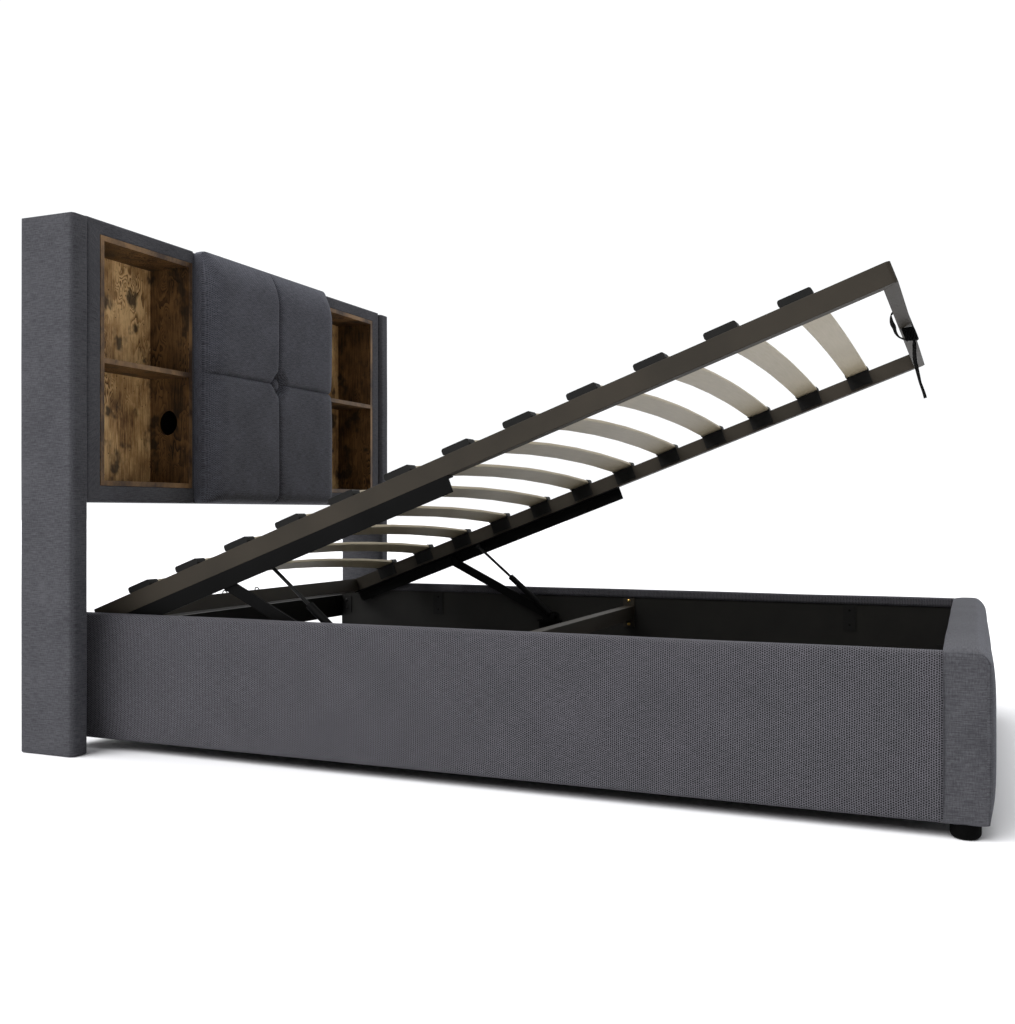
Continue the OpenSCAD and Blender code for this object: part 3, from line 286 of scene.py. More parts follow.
def piece(name, patches, material, body, replaces=()):
    """Makes a closed mesh object from grids, its faces turned outwards, riding on a body."""
    points, quads, uvs = weld(patches)
    mesh = bpy.data.meshes.new(name)
    mesh.from_pydata(points.tolist(), [], quads.tolist())
    mesh.uv_layers.new(name="UVMap").data.foreach_set("uv", uvs.astype(np.float32).ravel())
    mesh.materials.append(material)
    shell = bmesh.new()
    shell.from_mesh(mesh)
    bmesh.ops.recalc_face_normals(shell, faces=shell.faces)
    shell.to_mesh(mesh)
    open_edges = sum(e.is_boundary for e in shell.edges)
    shell.free()
    mesh.polygons.foreach_set("use_smooth", np.ones(len(mesh.polygons), bool))
    made = bpy.data.objects.new(name, mesh)
    bpy.context.scene.collection.objects.link(made)
    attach(made, body)
    if replaces:
        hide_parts(*replaces)
    print(f"{name}: {len(points)} points, {len(quads)} faces, {open_edges} open edges")
    return made


def wobble(points, amount, wave=0.19):
    """Cloth is never quite flat: a slow swell, the sum of sines of three skew directions, on each axis."""
    x, y, z = points[..., 0] / wave, points[..., 1] / wave, points[..., 2] / wave
    swell = np.stack([np.sin(2.1 * z + 1.3 * y + 0.6) + 0.5 * np.sin(5.3 * y - 3.1 * z),
                      np.sin(1.9 * x + 1.7 * z + 2.1) + 0.5 * np.sin(4.7 * z + 3.7 * x),
                      np.sin(1.6 * y - 2.3 * x + 4.0) + 0.5 * np.sin(5.9 * x + 2.9 * y)], -1)
    return points + amount * swell / 1.5


# %% [markdown]
# ## Posts and footboard
#
# These are boards wrapped in foam and cloth. Foam rounds the edges, and pulls the cloth a little proud
# between them. A box with rounded edges has a simple rule: clamp each point of the box to an inner core,
# then step outwards from the core by the rounding radius. The radius may differ from side to side,
# because the cloth is pulled tight at the back and rides on foam at the front.

# %% Padded boxes
def steps(low, high, turn_low, turn_high, flat):
    """Places from low to high: close-set by tan over each rounding, and 'flat' even steps between."""
    turn = 1 - np.tan(np.linspace(0, pi / 4, 7))
    core = np.linspace(low + turn_low, high - turn_high, flat + 1)[1:-1]
    return np.concatenate([low + turn_low * turn[::-1], core, high - turn_high * turn])


def padded_box(low, high, round_low, round_high, flat, crown=(0, 0, 0, 0, 0, 0)):
    """Six grids: core point + radius * unit((point - core)/radius), then crown (1 - a^4)(1 - b^4).

    crown gives the swell in metres of the faces at -X, +X, -Y, +Y, -Z and +Z."""
    low, high, round_low, round_high = (np.array(v, float) for v in (low, high, round_low, round_high))
    middle, half = (low + high) / 2, (high - low) / 2
    grids = []
    for axis in range(3):
        a, b = [k for k in range(3) if k != axis]
        u, v = np.meshgrid(*(steps(low[k], high[k], round_low[k], round_high[k], flat[k]) for k in (a, b)),
                           indexing="ij")
        for side in (-1, 1):
            shell = np.zeros(u.shape + (3,))
            shell[..., a], shell[..., b], shell[..., axis] = u, v, (low, high)[side > 0][axis]
            core = np.clip(shell, low + round_low, high - round_high)
            radius = np.where(shell < core, round_low, round_high)
            away = (shell - core) / radius
            away /= np.linalg.norm(away, axis=-1, keepdims=True)
            point = core + radius * away
            swell = crown[2 * axis + (side > 0)]
            point[..., axis] += side * swell * (1 - ((u - middle[a]) / half[a]) ** 4) * (
                1 - ((v - middle[b]) / half[b]) ** 4)
            grids.append((point, np.stack([u, v], -1)))
    return grids


# %% Posts
# The edges at the wall (+Y) and at both ends are crisp, the others have a 12 mm foam rounding. The lowest
# 2 mm stay as they are, because the post stands on them.
for name in ("left", "right"):
    low, high = box(f"post_cover_{name}")
    grids = padded_box(low, high, round_low=(0.012, 0.012, 0.003), round_high=(0.012, 0.0025, 0.0028),
                       flat=(6, 16, 60), crown=(0.001, 0.001, 0.001, 0.0, 0.0, 0.0008))
    grids = [(np.where(g[..., 2:] > 0.002, wobble(g, 0.0004), g), uv) for g, uv in grids]
    piece(f"post_{name}_padding", grids, fine_cloth, "base", (f"post_cover_{name}",))


# %% [markdown]
# The footboard is a flat board whose foam is thickest in the middle. Its two ends are flat panels with a
# seam all round, and right beside the seam the foam lifts the long faces: 10 mm outwards on the foot
# side and 7 mm upwards on top.

# %% Footboard
def footboard(turn=0.021, front_swell=0.010, top_swell=0.0068):
    """Box with a rounding 'turn' on its long edges. Foot side and top swell by (1 - |x|^36), x from -1 to 1,
    times a share that fades out over the rounding and towards the face's other two edges."""
    low, high = box("foot_cover")
    low[1] += 0.009
    high[2] -= 0.0045
    grids = padded_box(low, high, round_low=(0.003, 0.020, 0.003), round_high=(0.003, 0.003, turn),
                       flat=(130, 10, 24))
    middle, half = (low + high) / 2, (high - low) / 2
    shaped = []
    for grid, uv in grids:
        x, y, z = np.moveaxis((grid - middle) / half, -1, 0)
        along = 1 - np.abs(np.clip(x, -1, 1)) ** 36
        front = np.clip((low[1] + turn - grid[..., 1]) / turn, 0, 1) * (1 - np.abs(np.clip(z, -1, 1)) ** 5)
        above = np.clip((grid[..., 2] - high[2] + turn) / turn, 0, 1) * (1 - np.clip(np.abs(y), 0, 1) ** 3)
        grid[..., 1] -= front_swell * front * along
        grid[..., 2] += top_swell * above * along
        shaped.append((wobble(grid, 0.0005), uv))
    return shaped


piece("footboard_padding", footboard(), fine_cloth, "base", ("foot_cover",))


# %% [markdown]
# ## Side rails
#
# A rail's cover is one length of cloth over thin foam. It starts inside as a lip over the board's top
# edge, goes over the top, down the outer face and a little way under. So it is a profile with a
# thickness, carried along the rail. The foam makes the outer face swell by two or three millimetres,
# and its foot end presses 4 mm into the footboard's foam, which closes the joint.

# %% Rail covers
def arc(centre, radius, start, stop, count=7):
    """Points of an arc from one angle to another, in degrees."""
    angle = np.radians(np.linspace(start, stop, count))
    return np.stack([centre[0] + radius * np.cos(angle), centre[1] + radius * np.sin(angle)], 1)


def run_along(line):
    """Distance along a line of points, from its first point."""
    return np.concatenate([[0], np.cumsum(np.linalg.norm(np.diff(line, axis=0), axis=1))])


def rail_cover(side, lip=0.024, turn=0.008, skin=0.002, board=0.0162, crown=0.0025):
    """Outer line: lip, top, outer face with crown, underside. Inner line: the board it is laid on.

    The face's crown is (1 - t^4), t from -1 to 1 down the face. The right cover is made, and mirrored."""
    low, high = box("side_cover_right")
    x0, x1, z0, z1 = low[0], high[0], low[2], high[2]
    face = np.linspace(z1 - turn, z0 + turn, 26)[1:-1]
    swell = crown * (1 - ((face - (z0 + z1) / 2) / ((z1 - z0) / 2 - turn)) ** 4)
    outer = np.concatenate([[(x0, z1 - lip), (x0, z1 - 0.016), (x0, z1 - turn)],
                            arc((x0 + 0.004, z1 - 0.004), 0.004, 180, 90, 5), [((x0 + x1) / 2, z1 + 0.0004)],
                            arc((x1 - turn, z1 - turn), turn, 90, 0), np.stack([x1 + swell, face], 1),
                            arc((x1 - turn, z0 + turn), turn, 0, -90), [(x0 + 0.012, z0), (x0 + skin, z0)]])
    inner_path = np.array([(x0 + skin, z1 - lip), (x0 + skin, z1 - 0.006), (x0 + board, z1 - 0.006),
                           (x0 + board, z0 + 0.005), (x0 + skin, z0 + 0.005)])
    run = run_along(outer)
    inner_run = run_along(inner_path)
    spread = run / run[-1] * inner_run[-1]
    inner = np.stack([np.interp(spread, inner_run, inner_path[:, k]) for k in (0, 1)], 1)
    y = np.linspace(low[1] - 0.004, high[1], 220)

    def sheet(line, soft):
        """The line at each y. A soft sheet also swells slowly, except near its borders."""
        grid = np.zeros((len(y), len(line), 3))
        grid[..., 0], grid[..., 1], grid[..., 2] = line[:, 0], y[:, None], line[:, 1]
        if soft:
            share = np.clip((run - 0.012) / 0.02, 0, 1) * np.clip((run[-1] - 0.03 - run) / 0.02, 0, 1)
            ends = np.clip(np.minimum(y - y[0], y[-1] - y) / 0.03, 0, 1)[:, None]
            grid += (wobble(grid, 0.0006) - grid) * (share * ends)[..., None]
        grid[..., 0] *= side
        return grid

    shown, hidden = sheet(outer, True), sheet(inner, False)
    uv = np.stack(np.broadcast_arrays(y[:, None], run[None, :]), -1)
    grids = [(shown, uv), (hidden, uv)]
    for edge in (0, -1):
        grids.append((np.stack([shown[:, edge], hidden[:, edge]], 1), uv[:, :2]))
        grids.append((np.stack([shown[edge], hidden[edge]], 1), np.stack([uv[edge], uv[edge]], 1)))
    return grids


for name, side in (("left", -1), ("right", 1)):
    piece(f"rail_{name}_padding", rail_cover(side), coarse_cloth, "base", (f"side_cover_{name}",))


# %% [markdown]
# ## Headboard: padded frames round the shelf boxes
#
# Each shelf box sits in a window of a padded frame. A frame like this is a profile carried round a
# rectangle whose four sides have different widths: 45 mm beside the post, 30 mm above, 38 mm below and
# only 4 mm towards the centre. So a point is placed by its share of the way from the outer rectangle
# to the window, and each of the four sides is its own mitred sheet. Beside the post the frame stands
# 3 mm off, which shows as a dark line. Where the cable hole is, 775 mm up, the cloth is folded forward.

# %% Padded frames
SEAM_GAP, TOP_RISE, CABLE_Z = 0.003, 0.0035, 0.775


def rectangle(x0, x1, z0, z1):
    """The four corners, round from the low one."""
    return np.array([(x0, z0), (x1, z0), (x1, z1), (x0, z1)])


def window_frame(name):
    """Point = outer + w (window - outer) at depth y; w and y follow the profile from back to front to back.

    The fold at the cable hole brings the sheet's depth to 20 mm behind the front by exp(-(dz/55 mm)^8)."""
    low, high = box(f"surround_{name}")
    hole_low, hole_high = box(f"shelf_box_{name}")
    front, back, edge, turn = low[1], high[1], 0.17, np.linspace(0, pi / 2, 6)
    behind = np.array([back, back - 0.053, back - 0.103])
    w = np.concatenate([[0, 0, 0], edge * (1 - np.cos(turn)), np.linspace(edge, 0.9, 9)[1:-1],
                        0.9 + 0.1 * np.sin(turn), [1, 1, 1], [0.5, 0]])
    y = np.concatenate([behind, front + 0.005 * (1 - np.sin(turn)), np.full(7, front),
                        front + 0.004 * (1 - np.cos(turn)), behind[::-1], [back, back]])
    swell = np.where(y < front + 0.006, 0.0014 * np.sin(pi * np.clip(w, 0, 1)) ** 0.7, 0)
    seam = (SEAM_GAP, 0.0) if name == "left" else (0.0, SEAM_GAP)
    outer = rectangle(low[0] + seam[0], high[0] - seam[1], low[2], high[2] + TOP_RISE)
    inner = rectangle(hole_low[0], hole_high[0], hole_low[2], hole_high[2])
    along = np.concatenate([[0], np.cumsum(np.hypot(np.diff(w) * 0.04, np.diff(y)))])
    grids = []
    for k in range(4):
        s = np.linspace(0, 1, 41)[:, None, None]
        out = outer[k] + s * (outer[(k + 1) % 4] - outer[k])
        win = inner[k] + s * (inner[(k + 1) % 4] - inner[k])
        place = out + w[None, :, None] * (win - out)
        width = np.linalg.norm((win - out)[:, 0], axis=1)[:, None]
        share = np.clip(width / 0.045, 0, 1) * np.clip(4 * np.minimum(s, 1 - s), 0, 1)[:, :, 0]
        depth = y[None, :] - swell[None, :] * share
        if (k, name) in ((1, "left"), (3, "right")):
            fold = 0.97 * np.exp(-((place[..., 1] - CABLE_Z) / 0.055) ** 8)
            depth = np.where(depth > front + 0.02, depth + (front + 0.02 - depth) * fold, depth)
        grid = np.stack([place[..., 0], depth, place[..., 1]], -1)
        length = np.linalg.norm(outer[(k + 1) % 4] - outer[k])
        uv = np.stack(np.broadcast_arrays(s[:, :, 0] * length, along[None, :]), -1)
        grids.append((grid, uv if k % 2 == 0 else uv[..., ::-1]))
    return grids


for name in ("left", "right"):
    piece(f"surround_{name}_padding", window_frame(name), fine_cloth, "base", (f"surround_{name}",))


# %% [markdown]
# ## Headboard: the cloth-covered centre
#
# Behind the cushion a board is folded back at the top and the bottom to the rear board, and the cloth
# goes round all of it. It is one bent section, carried across.

# %% Centre frame
def centre_frame(flange=0.030, board=0.018, turn=0.005):
    """A channel section: outer line from the back, over the top, down the front, back below; then inside."""
    low, high = box("centre_frame")
    y0, y1, z0, z1 = low[1], high[1], low[2], high[2]
    outer = np.concatenate([[(y1, z1)], arc((y0 + turn, z1 - turn), turn, 90, 180, 5),
                            arc((y0 + turn, z0 + turn), turn, 180, 270, 5), [(y1, z0)]])
    inner = np.array([(y1, z1 - flange), (y0 + board, z1 - flange), (y0 + board, z0 + flange), (y1, z0 + flange)])
    x = np.linspace(low[0], high[0], 31)
    run = run_along(outer)
    sheets, uv = [], np.stack(np.broadcast_arrays(x[:, None], run[None, :]), -1)
    for line in (outer, inner):
        grid = np.zeros((len(x), len(line), 3))
        grid[..., 0], grid[..., 1], grid[..., 2] = x[:, None], line[:, 0], line[:, 1]
        sheets.append(grid)
    shown, hidden = sheets
    patches = [(shown, uv), (hidden, uv[:, :4])]
    for edge in (0, -1):
        patches.append((np.stack([shown[:, edge], hidden[:, edge]], 1), uv[:, :2]))
    return patches


piece("centre_frame_cover", centre_frame(), fine_cloth, "base", ("centre_frame",))


# %% [markdown]
# ## Headboard: the centre cushion
#
# The cushion is quilted into four quarters by one upright and one level seam, with a covered button
# where they cross. Each quarter is a pillow with rounded corners: the cloth rises steeply out of the
# seam, then flattens. Exponentials of the distance inside the quarter's outline do that. The cushion's
# sides are quarter rounds, and its face slopes back to a crisp seam at the top. Short folds run from
# the button.

# %% Cushion
low, high = box("centre_cushion")
LOW_X, HIGH_X, LOW_Z, TOP_Z, PANEL_Y = low[0] + 0.0015, high[0] - 0.0015, low[2], high[2], high[1]
button_low, button_high = box("tuft_button")
SEAM_Z = (button_low[2] + button_high[2]) / 2
WALL, SEAM_FACE, PILLOW_RISE, BUTTON_FACE = 0.025, 0.052, 0.019, 0.0355
SIDE_ROUND, TOP_SLOPE, BOTTOM_ROUND, TOP_LIFT = 0.055, 0.095, 0.030, 0.0034


def lines(low, seam, high, radius):
    """Grid lines between two edges: close-set on the edge rounding and beside the seam."""
    def one_way(length):
        """r (1 - cos a) over the rounding, even steps of 7 mm, then ever closer steps to the seam."""
        rounding = radius * (1 - np.cos(np.linspace(0, pi / 2, 12)))
        beside = length - np.geomspace(0.0012, 0.06, 18)[::-1]
        middle = np.linspace(rounding[-1], beside[0], int((beside[0] - rounding[-1]) / 0.007) + 1)
        return np.concatenate([rounding, middle[1:-1], beside, [length]])
    return np.concatenate([low + one_way(seam - low), (high - one_way(high - seam))[::-1][1:]])


def smooth(t):
    """Eases from 0 to 1: 3 t^2 - 2 t^3."""
    t = np.clip(t, 0, 1)
    return t * t * (3 - 2 * t)


def pillow(a, b, corner=0.030):
    """Rise of a quarter at distances a and b from its two seams.

    d is the distance inside its outline, whose corner at the button is round. The rise is
    (1 - exp(-d/4 mm)) times (1 - 0.3 exp(-t/60 mm)) for t = a and t = b."""
    in_corner = (a < corner) & (b < corner)
    d = np.where(in_corner, np.maximum(0, corner - np.hypot(corner - a, corner - b)), np.minimum(a, b))
    return (1 - np.exp(-d / 0.004)) * (1 - 0.3 * np.exp(-a / 0.06)) * (1 - 0.3 * np.exp(-b / 0.06))


def rounded_edge(distance, radius, power=0.5):
    """Quarter round: (1 - (1 - d/r)^2)^0.5 inside the radius, 1 beyond. Power 1 gives a gentle slope."""
    return np.clip(1 - np.clip(1 - distance / radius, 0, 1) ** 2, 0, 1) ** power


def cushion_thickness(x, z):
    """Wall + (pillow face - wall) times the edge roundings. Round the button the face eases down to its
    pit, and twelve folds of 1 mm run out from it as cos(12 angle), fading by exp(-r/50 mm)."""
    seam_x, seam_z = np.abs(x), np.abs(z - SEAM_Z)
    face = SEAM_FACE + PILLOW_RISE * pillow(seam_x, seam_z)
    radius, angle = np.hypot(x, z - SEAM_Z), np.arctan2(z - SEAM_Z, x)
    face = BUTTON_FACE + (face - BUTTON_FACE) * smooth((radius - 0.0165) / 0.020)
    face += 0.0010 * np.exp(-radius / 0.05) * np.clip((radius - 0.02) / 0.01, 0, 1) * np.cos(12 * angle + 0.7)
    edge = rounded_edge(HIGH_X - seam_x, SIDE_ROUND) * rounded_edge(TOP_Z - z, TOP_SLOPE, 1)
    return WALL + (face - WALL) * edge * rounded_edge(z - LOW_Z, BOTTOM_ROUND)


def cushion():
    """Front y = panel - thickness. The level seam draws the sides in by 4 mm, the outline's corners are
    rounded by 9 mm, the top is lifted, and a wall with a slight bulge joins the front to the flat back."""
    x, z = np.meshgrid(lines(LOW_X, 0, HIGH_X, SIDE_ROUND), lines(LOW_Z, SEAM_Z, TOP_Z, 0.050), indexing="ij")
    thick = cushion_thickness(x, z)
    draw_x = 0.004 * np.exp(-np.abs(z - SEAM_Z) / 0.015) * (np.abs(x) / HIGH_X) ** 3
    px = x - np.sign(x) * draw_x
    corner = np.clip(1 - (HIGH_X - np.abs(x)) / 0.016, 0, 1) ** 2 * np.sign(z - SEAM_Z)
    pz = z + TOP_LIFT * smooth((z - TOP_Z + 0.1) / 0.1)
    pz -= 0.009 * corner * smooth((np.abs(z - SEAM_Z) - 0.24) / 0.08)
    front = np.stack([px, PANEL_Y - thick, pz], -1)
    front[..., 1] += (wobble(front, 0.0006, 0.13) - front)[..., 1] * (thick > WALL + 0.0001)
    grids = [(front, np.stack([x, z], -1))]
    back = np.stack([px, np.full_like(px, PANEL_Y - 0.0003), pz], -1)
    grids.append((back, np.stack([x, z], -1)))
    depth = np.linspace(0, 1, 9)
    for rim, rear, run in ((front[0], back[0], z[0]), (front[-1], back[-1], z[0]),
                           (front[:, 0], back[:, 0], x[:, 0]), (front[:, -1], back[:, -1], x[:, 0])):
        wall = rim[:, None] + depth[None, :, None] * (rear - rim)[:, None]
        outwards = rear.mean(0) - np.array([0, PANEL_Y, (LOW_Z + TOP_Z) / 2])
        outwards[1] = 0
        outwards /= np.linalg.norm(outwards)
        ends = np.clip(np.minimum(np.arange(len(rim)), np.arange(len(rim))[::-1]) / 6, 0, 1)
        wall += outwards * 0.0012 * np.sin(pi * depth)[None, :, None] * ends[:, None, None]
        grids.append((wall, np.stack(np.broadcast_arrays(run[:, None], WALL * depth[None, :]), -1)))
    return grids


piece("centre_cushion_pillows", cushion(), cushion_cloth, "base", ("centre_cushion",))


# %% Button
def button():
    """A covered dome of height (1 - r^2.6)^0.5. The square grid u, v is mapped to a disc, so it has no pole:
    x = u (1 - v^2/2)^0.5, z = v (1 - u^2/2)^0.5."""
    u, v = np.meshgrid(np.linspace(-1, 1, 25), np.linspace(-1, 1, 25), indexing="ij")
    dx, dz = u * np.sqrt(1 - v * v / 2), v * np.sqrt(1 - u * u / 2)
    r = np.clip(np.hypot(dx, dz), 0, 1)
    base_y, radius = button_high[1], (button_high[0] - button_low[0]) / 2
    dome = np.sqrt(np.clip(1 - r ** 2.6, 0, 1))
    depth = base_y - button_low[1]
    front = np.stack([radius * dx, base_y - 0.3 * depth - 0.72 * depth * dome, SEAM_Z + radius * dz], -1)
    back = np.stack([0.85 * radius * dx, np.full_like(dx, base_y), SEAM_Z + 0.85 * radius * dz], -1)
    uv = np.stack([radius * dx, radius * dz], -1)
    grids = [(front, uv), (back, uv)]
    for pick in ((0, slice(None)), (-1, slice(None)), (slice(None), 0), (slice(None), -1)):
        grids.append((np.stack([front[pick], back[pick]], 1), np.stack([uv[pick], uv[pick]], 1)))
    return grids


piece("tuft_button_cover", button(), cushion_cloth, "base", ("tuft_button",))


# %% [markdown]
# ## Pull strap
#
# A flat band of black webbing hangs loosely round the foot tube, with a tail that pulls the bed shut.
# The band is a ring with slack below the tube, twisted where it hangs free behind it. Its stitched end
# is folded round it as a short keeper, and the tail hangs from its lowest place, a little turned.
# Webbing shows a fine herringbone of yarns, so its finish uses the band's own UV.

# %% Webbing
def webbing_finish(rib_pitch=0.006):
    """Herringbone: sin(2 pi (zigzag(u) + v)/pitch), where zigzag folds u back and forth every pitch."""
    material, tree, shader = start_finish("polyester_webbing", Roughness=0.9)
    shader.inputs["Specular IOR Level"].default_value = 0.06
    uv = add(tree, "TexCoord", out="UV")
    parts = add(tree, "SeparateXYZ", {0: uv}).node.outputs
    zig = add(tree, "Math", {0: parts[0], 1: rib_pitch}, operation="PINGPONG")
    slant = add(tree, "Math", {0: zig, 1: parts[1]}, operation="ADD")
    phase = add(tree, "Math", {0: slant, 1: 2 * pi / rib_pitch}, operation="MULTIPLY")
    rib = add(tree, "Math", {0: phase}, operation="SINE")
    colour = add(tree, "ValToRGB", {0: rib}, stops=[(0.0, ink("020202")), (1.0, ink("141415"))])
    wire(tree, shader, Base_Color=colour,
         Normal=add(tree, "Bump", {"Strength": 0.6, "Distance": 0.0006, "Height": rib}))
    return material


webbing = webbing_finish()
tube_low = box("frame_foot_tube")[0]
TILT, STRAP_X = radians(20.6), float(np.mean([c[0] for c in box("pull_strap")]))
TUBE_DEPTH, TAIL_WIDTH, LOOP_WIDTH, KEEPER_WIDTH = 0.027, 0.0205, 0.025, 0.029
TIP = np.array([tube_low[1], tube_low[2] + TUBE_DEPTH * sin(TILT)])
UP = np.array([0, sin(TILT), cos(TILT)])


def on_platform(s, h):
    """The open platform's place (s along it from the foot, h above its underside) as Y and Z."""
    return np.stack([TIP[0] + s * cos(TILT) + h * sin(TILT), TIP[1] - s * sin(TILT) + h * cos(TILT)], -1)


def smooth_line(points, count, closed=False):
    """Catmull-Rom curve: between p1 and p2 it is (a + b t + c t^2 + d t^3)/2 of four neighbours."""
    p = np.concatenate([points[-1:], points, points[:2]] if closed else [points[:1], points, points[-1:]])
    place = np.linspace(0, len(p) - 3, count, endpoint=not closed)
    k = np.minimum(place.astype(int), len(p) - 4)
    t = (place - k)[:, None]
    p0, p1, p2, p3 = (p[k + i] for i in range(4))
    return (2 * p1 + (p2 - p0) * t + (2 * p0 - 5 * p1 + 4 * p2 - p3) * t ** 2
            + (3 * p1 - p0 - 3 * p2 + p3) * t ** 3) / 2


def band(line, across, width, thick, closed=False):
    """A flat band along a line of points: line + across w/2 f(cos a) + away t/2 g(sin a).

    f and g keep the sign and raise the size to the power 0.45 and 0.8, which squares the round section."""
    ring = np.concatenate([line[-1:], line, line[:1]]) if closed else line
    ahead = np.gradient(ring, axis=0)[1:-1] if closed else np.gradient(ring, axis=0)
    ahead /= np.linalg.norm(ahead, axis=1, keepdims=True)
    across = np.broadcast_to(across, line.shape)
    away = np.cross(ahead, across)
    away /= np.linalg.norm(away, axis=1, keepdims=True)
    around = np.linspace(0, 2 * pi, 25)
    flat = np.sign(np.cos(around)) * np.abs(np.cos(around)) ** 0.45
    high = np.sign(np.sin(around)) * np.abs(np.sin(around)) ** 0.8
    flat[-1], high[-1] = flat[0], high[0]
    grid = (line[:, None] + across[:, None] * (width / 2 * flat)[None, :, None]
            + away[:, None] * (thick / 2 * high)[None, :, None])
    uv = np.stack(np.broadcast_arrays(width / 2 * flat[None, :], run_along(line)[:, None]), -1)
    if closed:
        return np.concatenate([grid, grid[:1]]), np.concatenate([uv, uv[-1:] + [0, 0.001]])
    return grid, uv


def capped(grid, uv):
    """A band with both ends closed: the upper half of each end ring against its lower half."""
    half = grid.shape[1] // 2
    patches = [(grid, uv)]
    for k in (0, -1):
        patches.append((np.stack([grid[k, :half + 1], grid[k, half:][::-1]], 1),
                        np.stack([uv[k, :half + 1], uv[k, half:][::-1]], 1)))
    return patches


# %% Hanging tail
# The route repeats the CAD tail's own points, in mm from its start on the underside of the loop.
TAIL_START = on_platform(0.0085, -0.0297)
route = TAIL_START + 0.001 * np.array([
    (0, 0), (-1, -4), (-1.5, -10), (-1.5, -18), (-1.5, -26), (-2, -36), (-3, -46), (-5, -55), (-7, -64), (-9, -73),
    (-11, -82), (-13, -91), (-16, -100), (-19, -109), (-21.5, -117), (-23.5, -125)])
yz = smooth_line(route, 91)
tail_line = np.stack([np.full(len(yz), STRAP_X), yz[:, 0], yz[:, 1]], 1)
turned = np.radians(np.interp(np.linspace(0, 1, len(yz)), [0, 0.12, 0.5, 0.75, 1], [4, 24, 22, 14, 18]))
tail_across = np.stack([np.cos(turned), np.sin(turned), np.zeros(len(yz))], 1)
tail = piece("pull_strap_hanging", capped(*band(tail_line, tail_across, TAIL_WIDTH, 0.0024)), webbing, "platform",
             ("pull_strap_tail",))

# %% Strap round the tube
# Points in mm, s and h on the platform: over the tube, slack on its inner side, and flat down its foot side.
slack = 0.001 * np.array([
    (4, 41.4), (23, 41.4), (31, 39.6), (34.5, 32), (36, 22), (35, 11), (36, 0), (33, -12), (25, -21), (15, -26.5),
    (5, -30.5), (1.2, -31.5), (-0.9, -27), (-0.9, -14), (-0.9, 2), (-0.9, 20), (-0.9, 36), (0.1, 40.4)])
loop_yz = on_platform(*smooth_line(slack, 144, closed=True).T)
loop_line = np.stack([np.full(len(loop_yz), STRAP_X), loop_yz[:, 0], loop_yz[:, 1]], 1)
twist = radians(20) * np.sin(pi * np.clip((np.arange(144) - 12) / 46, 0, 1))
loop_across = np.stack([np.cos(twist), np.sin(twist) * cos(TILT), -np.sin(twist) * sin(TILT)], 1)
strap_patches = [band(loop_line, loop_across, LOOP_WIDTH, 0.0020, closed=True)]
# The keeper's points are s and x: from the foot side round the band's edge to the inner side.
keeper = 0.001 * np.array([
    (1, 3), (-0.8, -5), (-0.8, -12), (3, -15.5), (12, -16.5), (20, -14.5), (22.5, -8), (21, 2)])
keeper_sx = smooth_line(keeper, 57)
keeper_yz = on_platform(keeper_sx[:, 0], -0.0135 - 0.25 * (0.022 - keeper_sx[:, 0]))
keeper_line = np.stack([STRAP_X + keeper_sx[:, 1], keeper_yz[:, 0], keeper_yz[:, 1]], 1)
strap_patches += capped(*band(keeper_line, UP, KEEPER_WIDTH, 0.0022))
piece("pull_strap_band", strap_patches, webbing, "platform", ("pull_strap",))

# %% [markdown]
# ## Rustic wood
#
# The shelf boxes are chipboard faced with a printed oak pattern: honey to dark brown, upright grain,
# cathedral arches, and dark knots and stains. A tree's yearly layers are nested cones, and a board
# sawn from it cuts them along arches. So a ring number is the distance from a core line plus a small
# share of the height, which gives the arches at once. They show in places only. Long noise gives the
# pores, clouds the worn patches, and dark spots the stains and worm holes. The front edges carry a
# plainer edging, which a test on depth switches to.

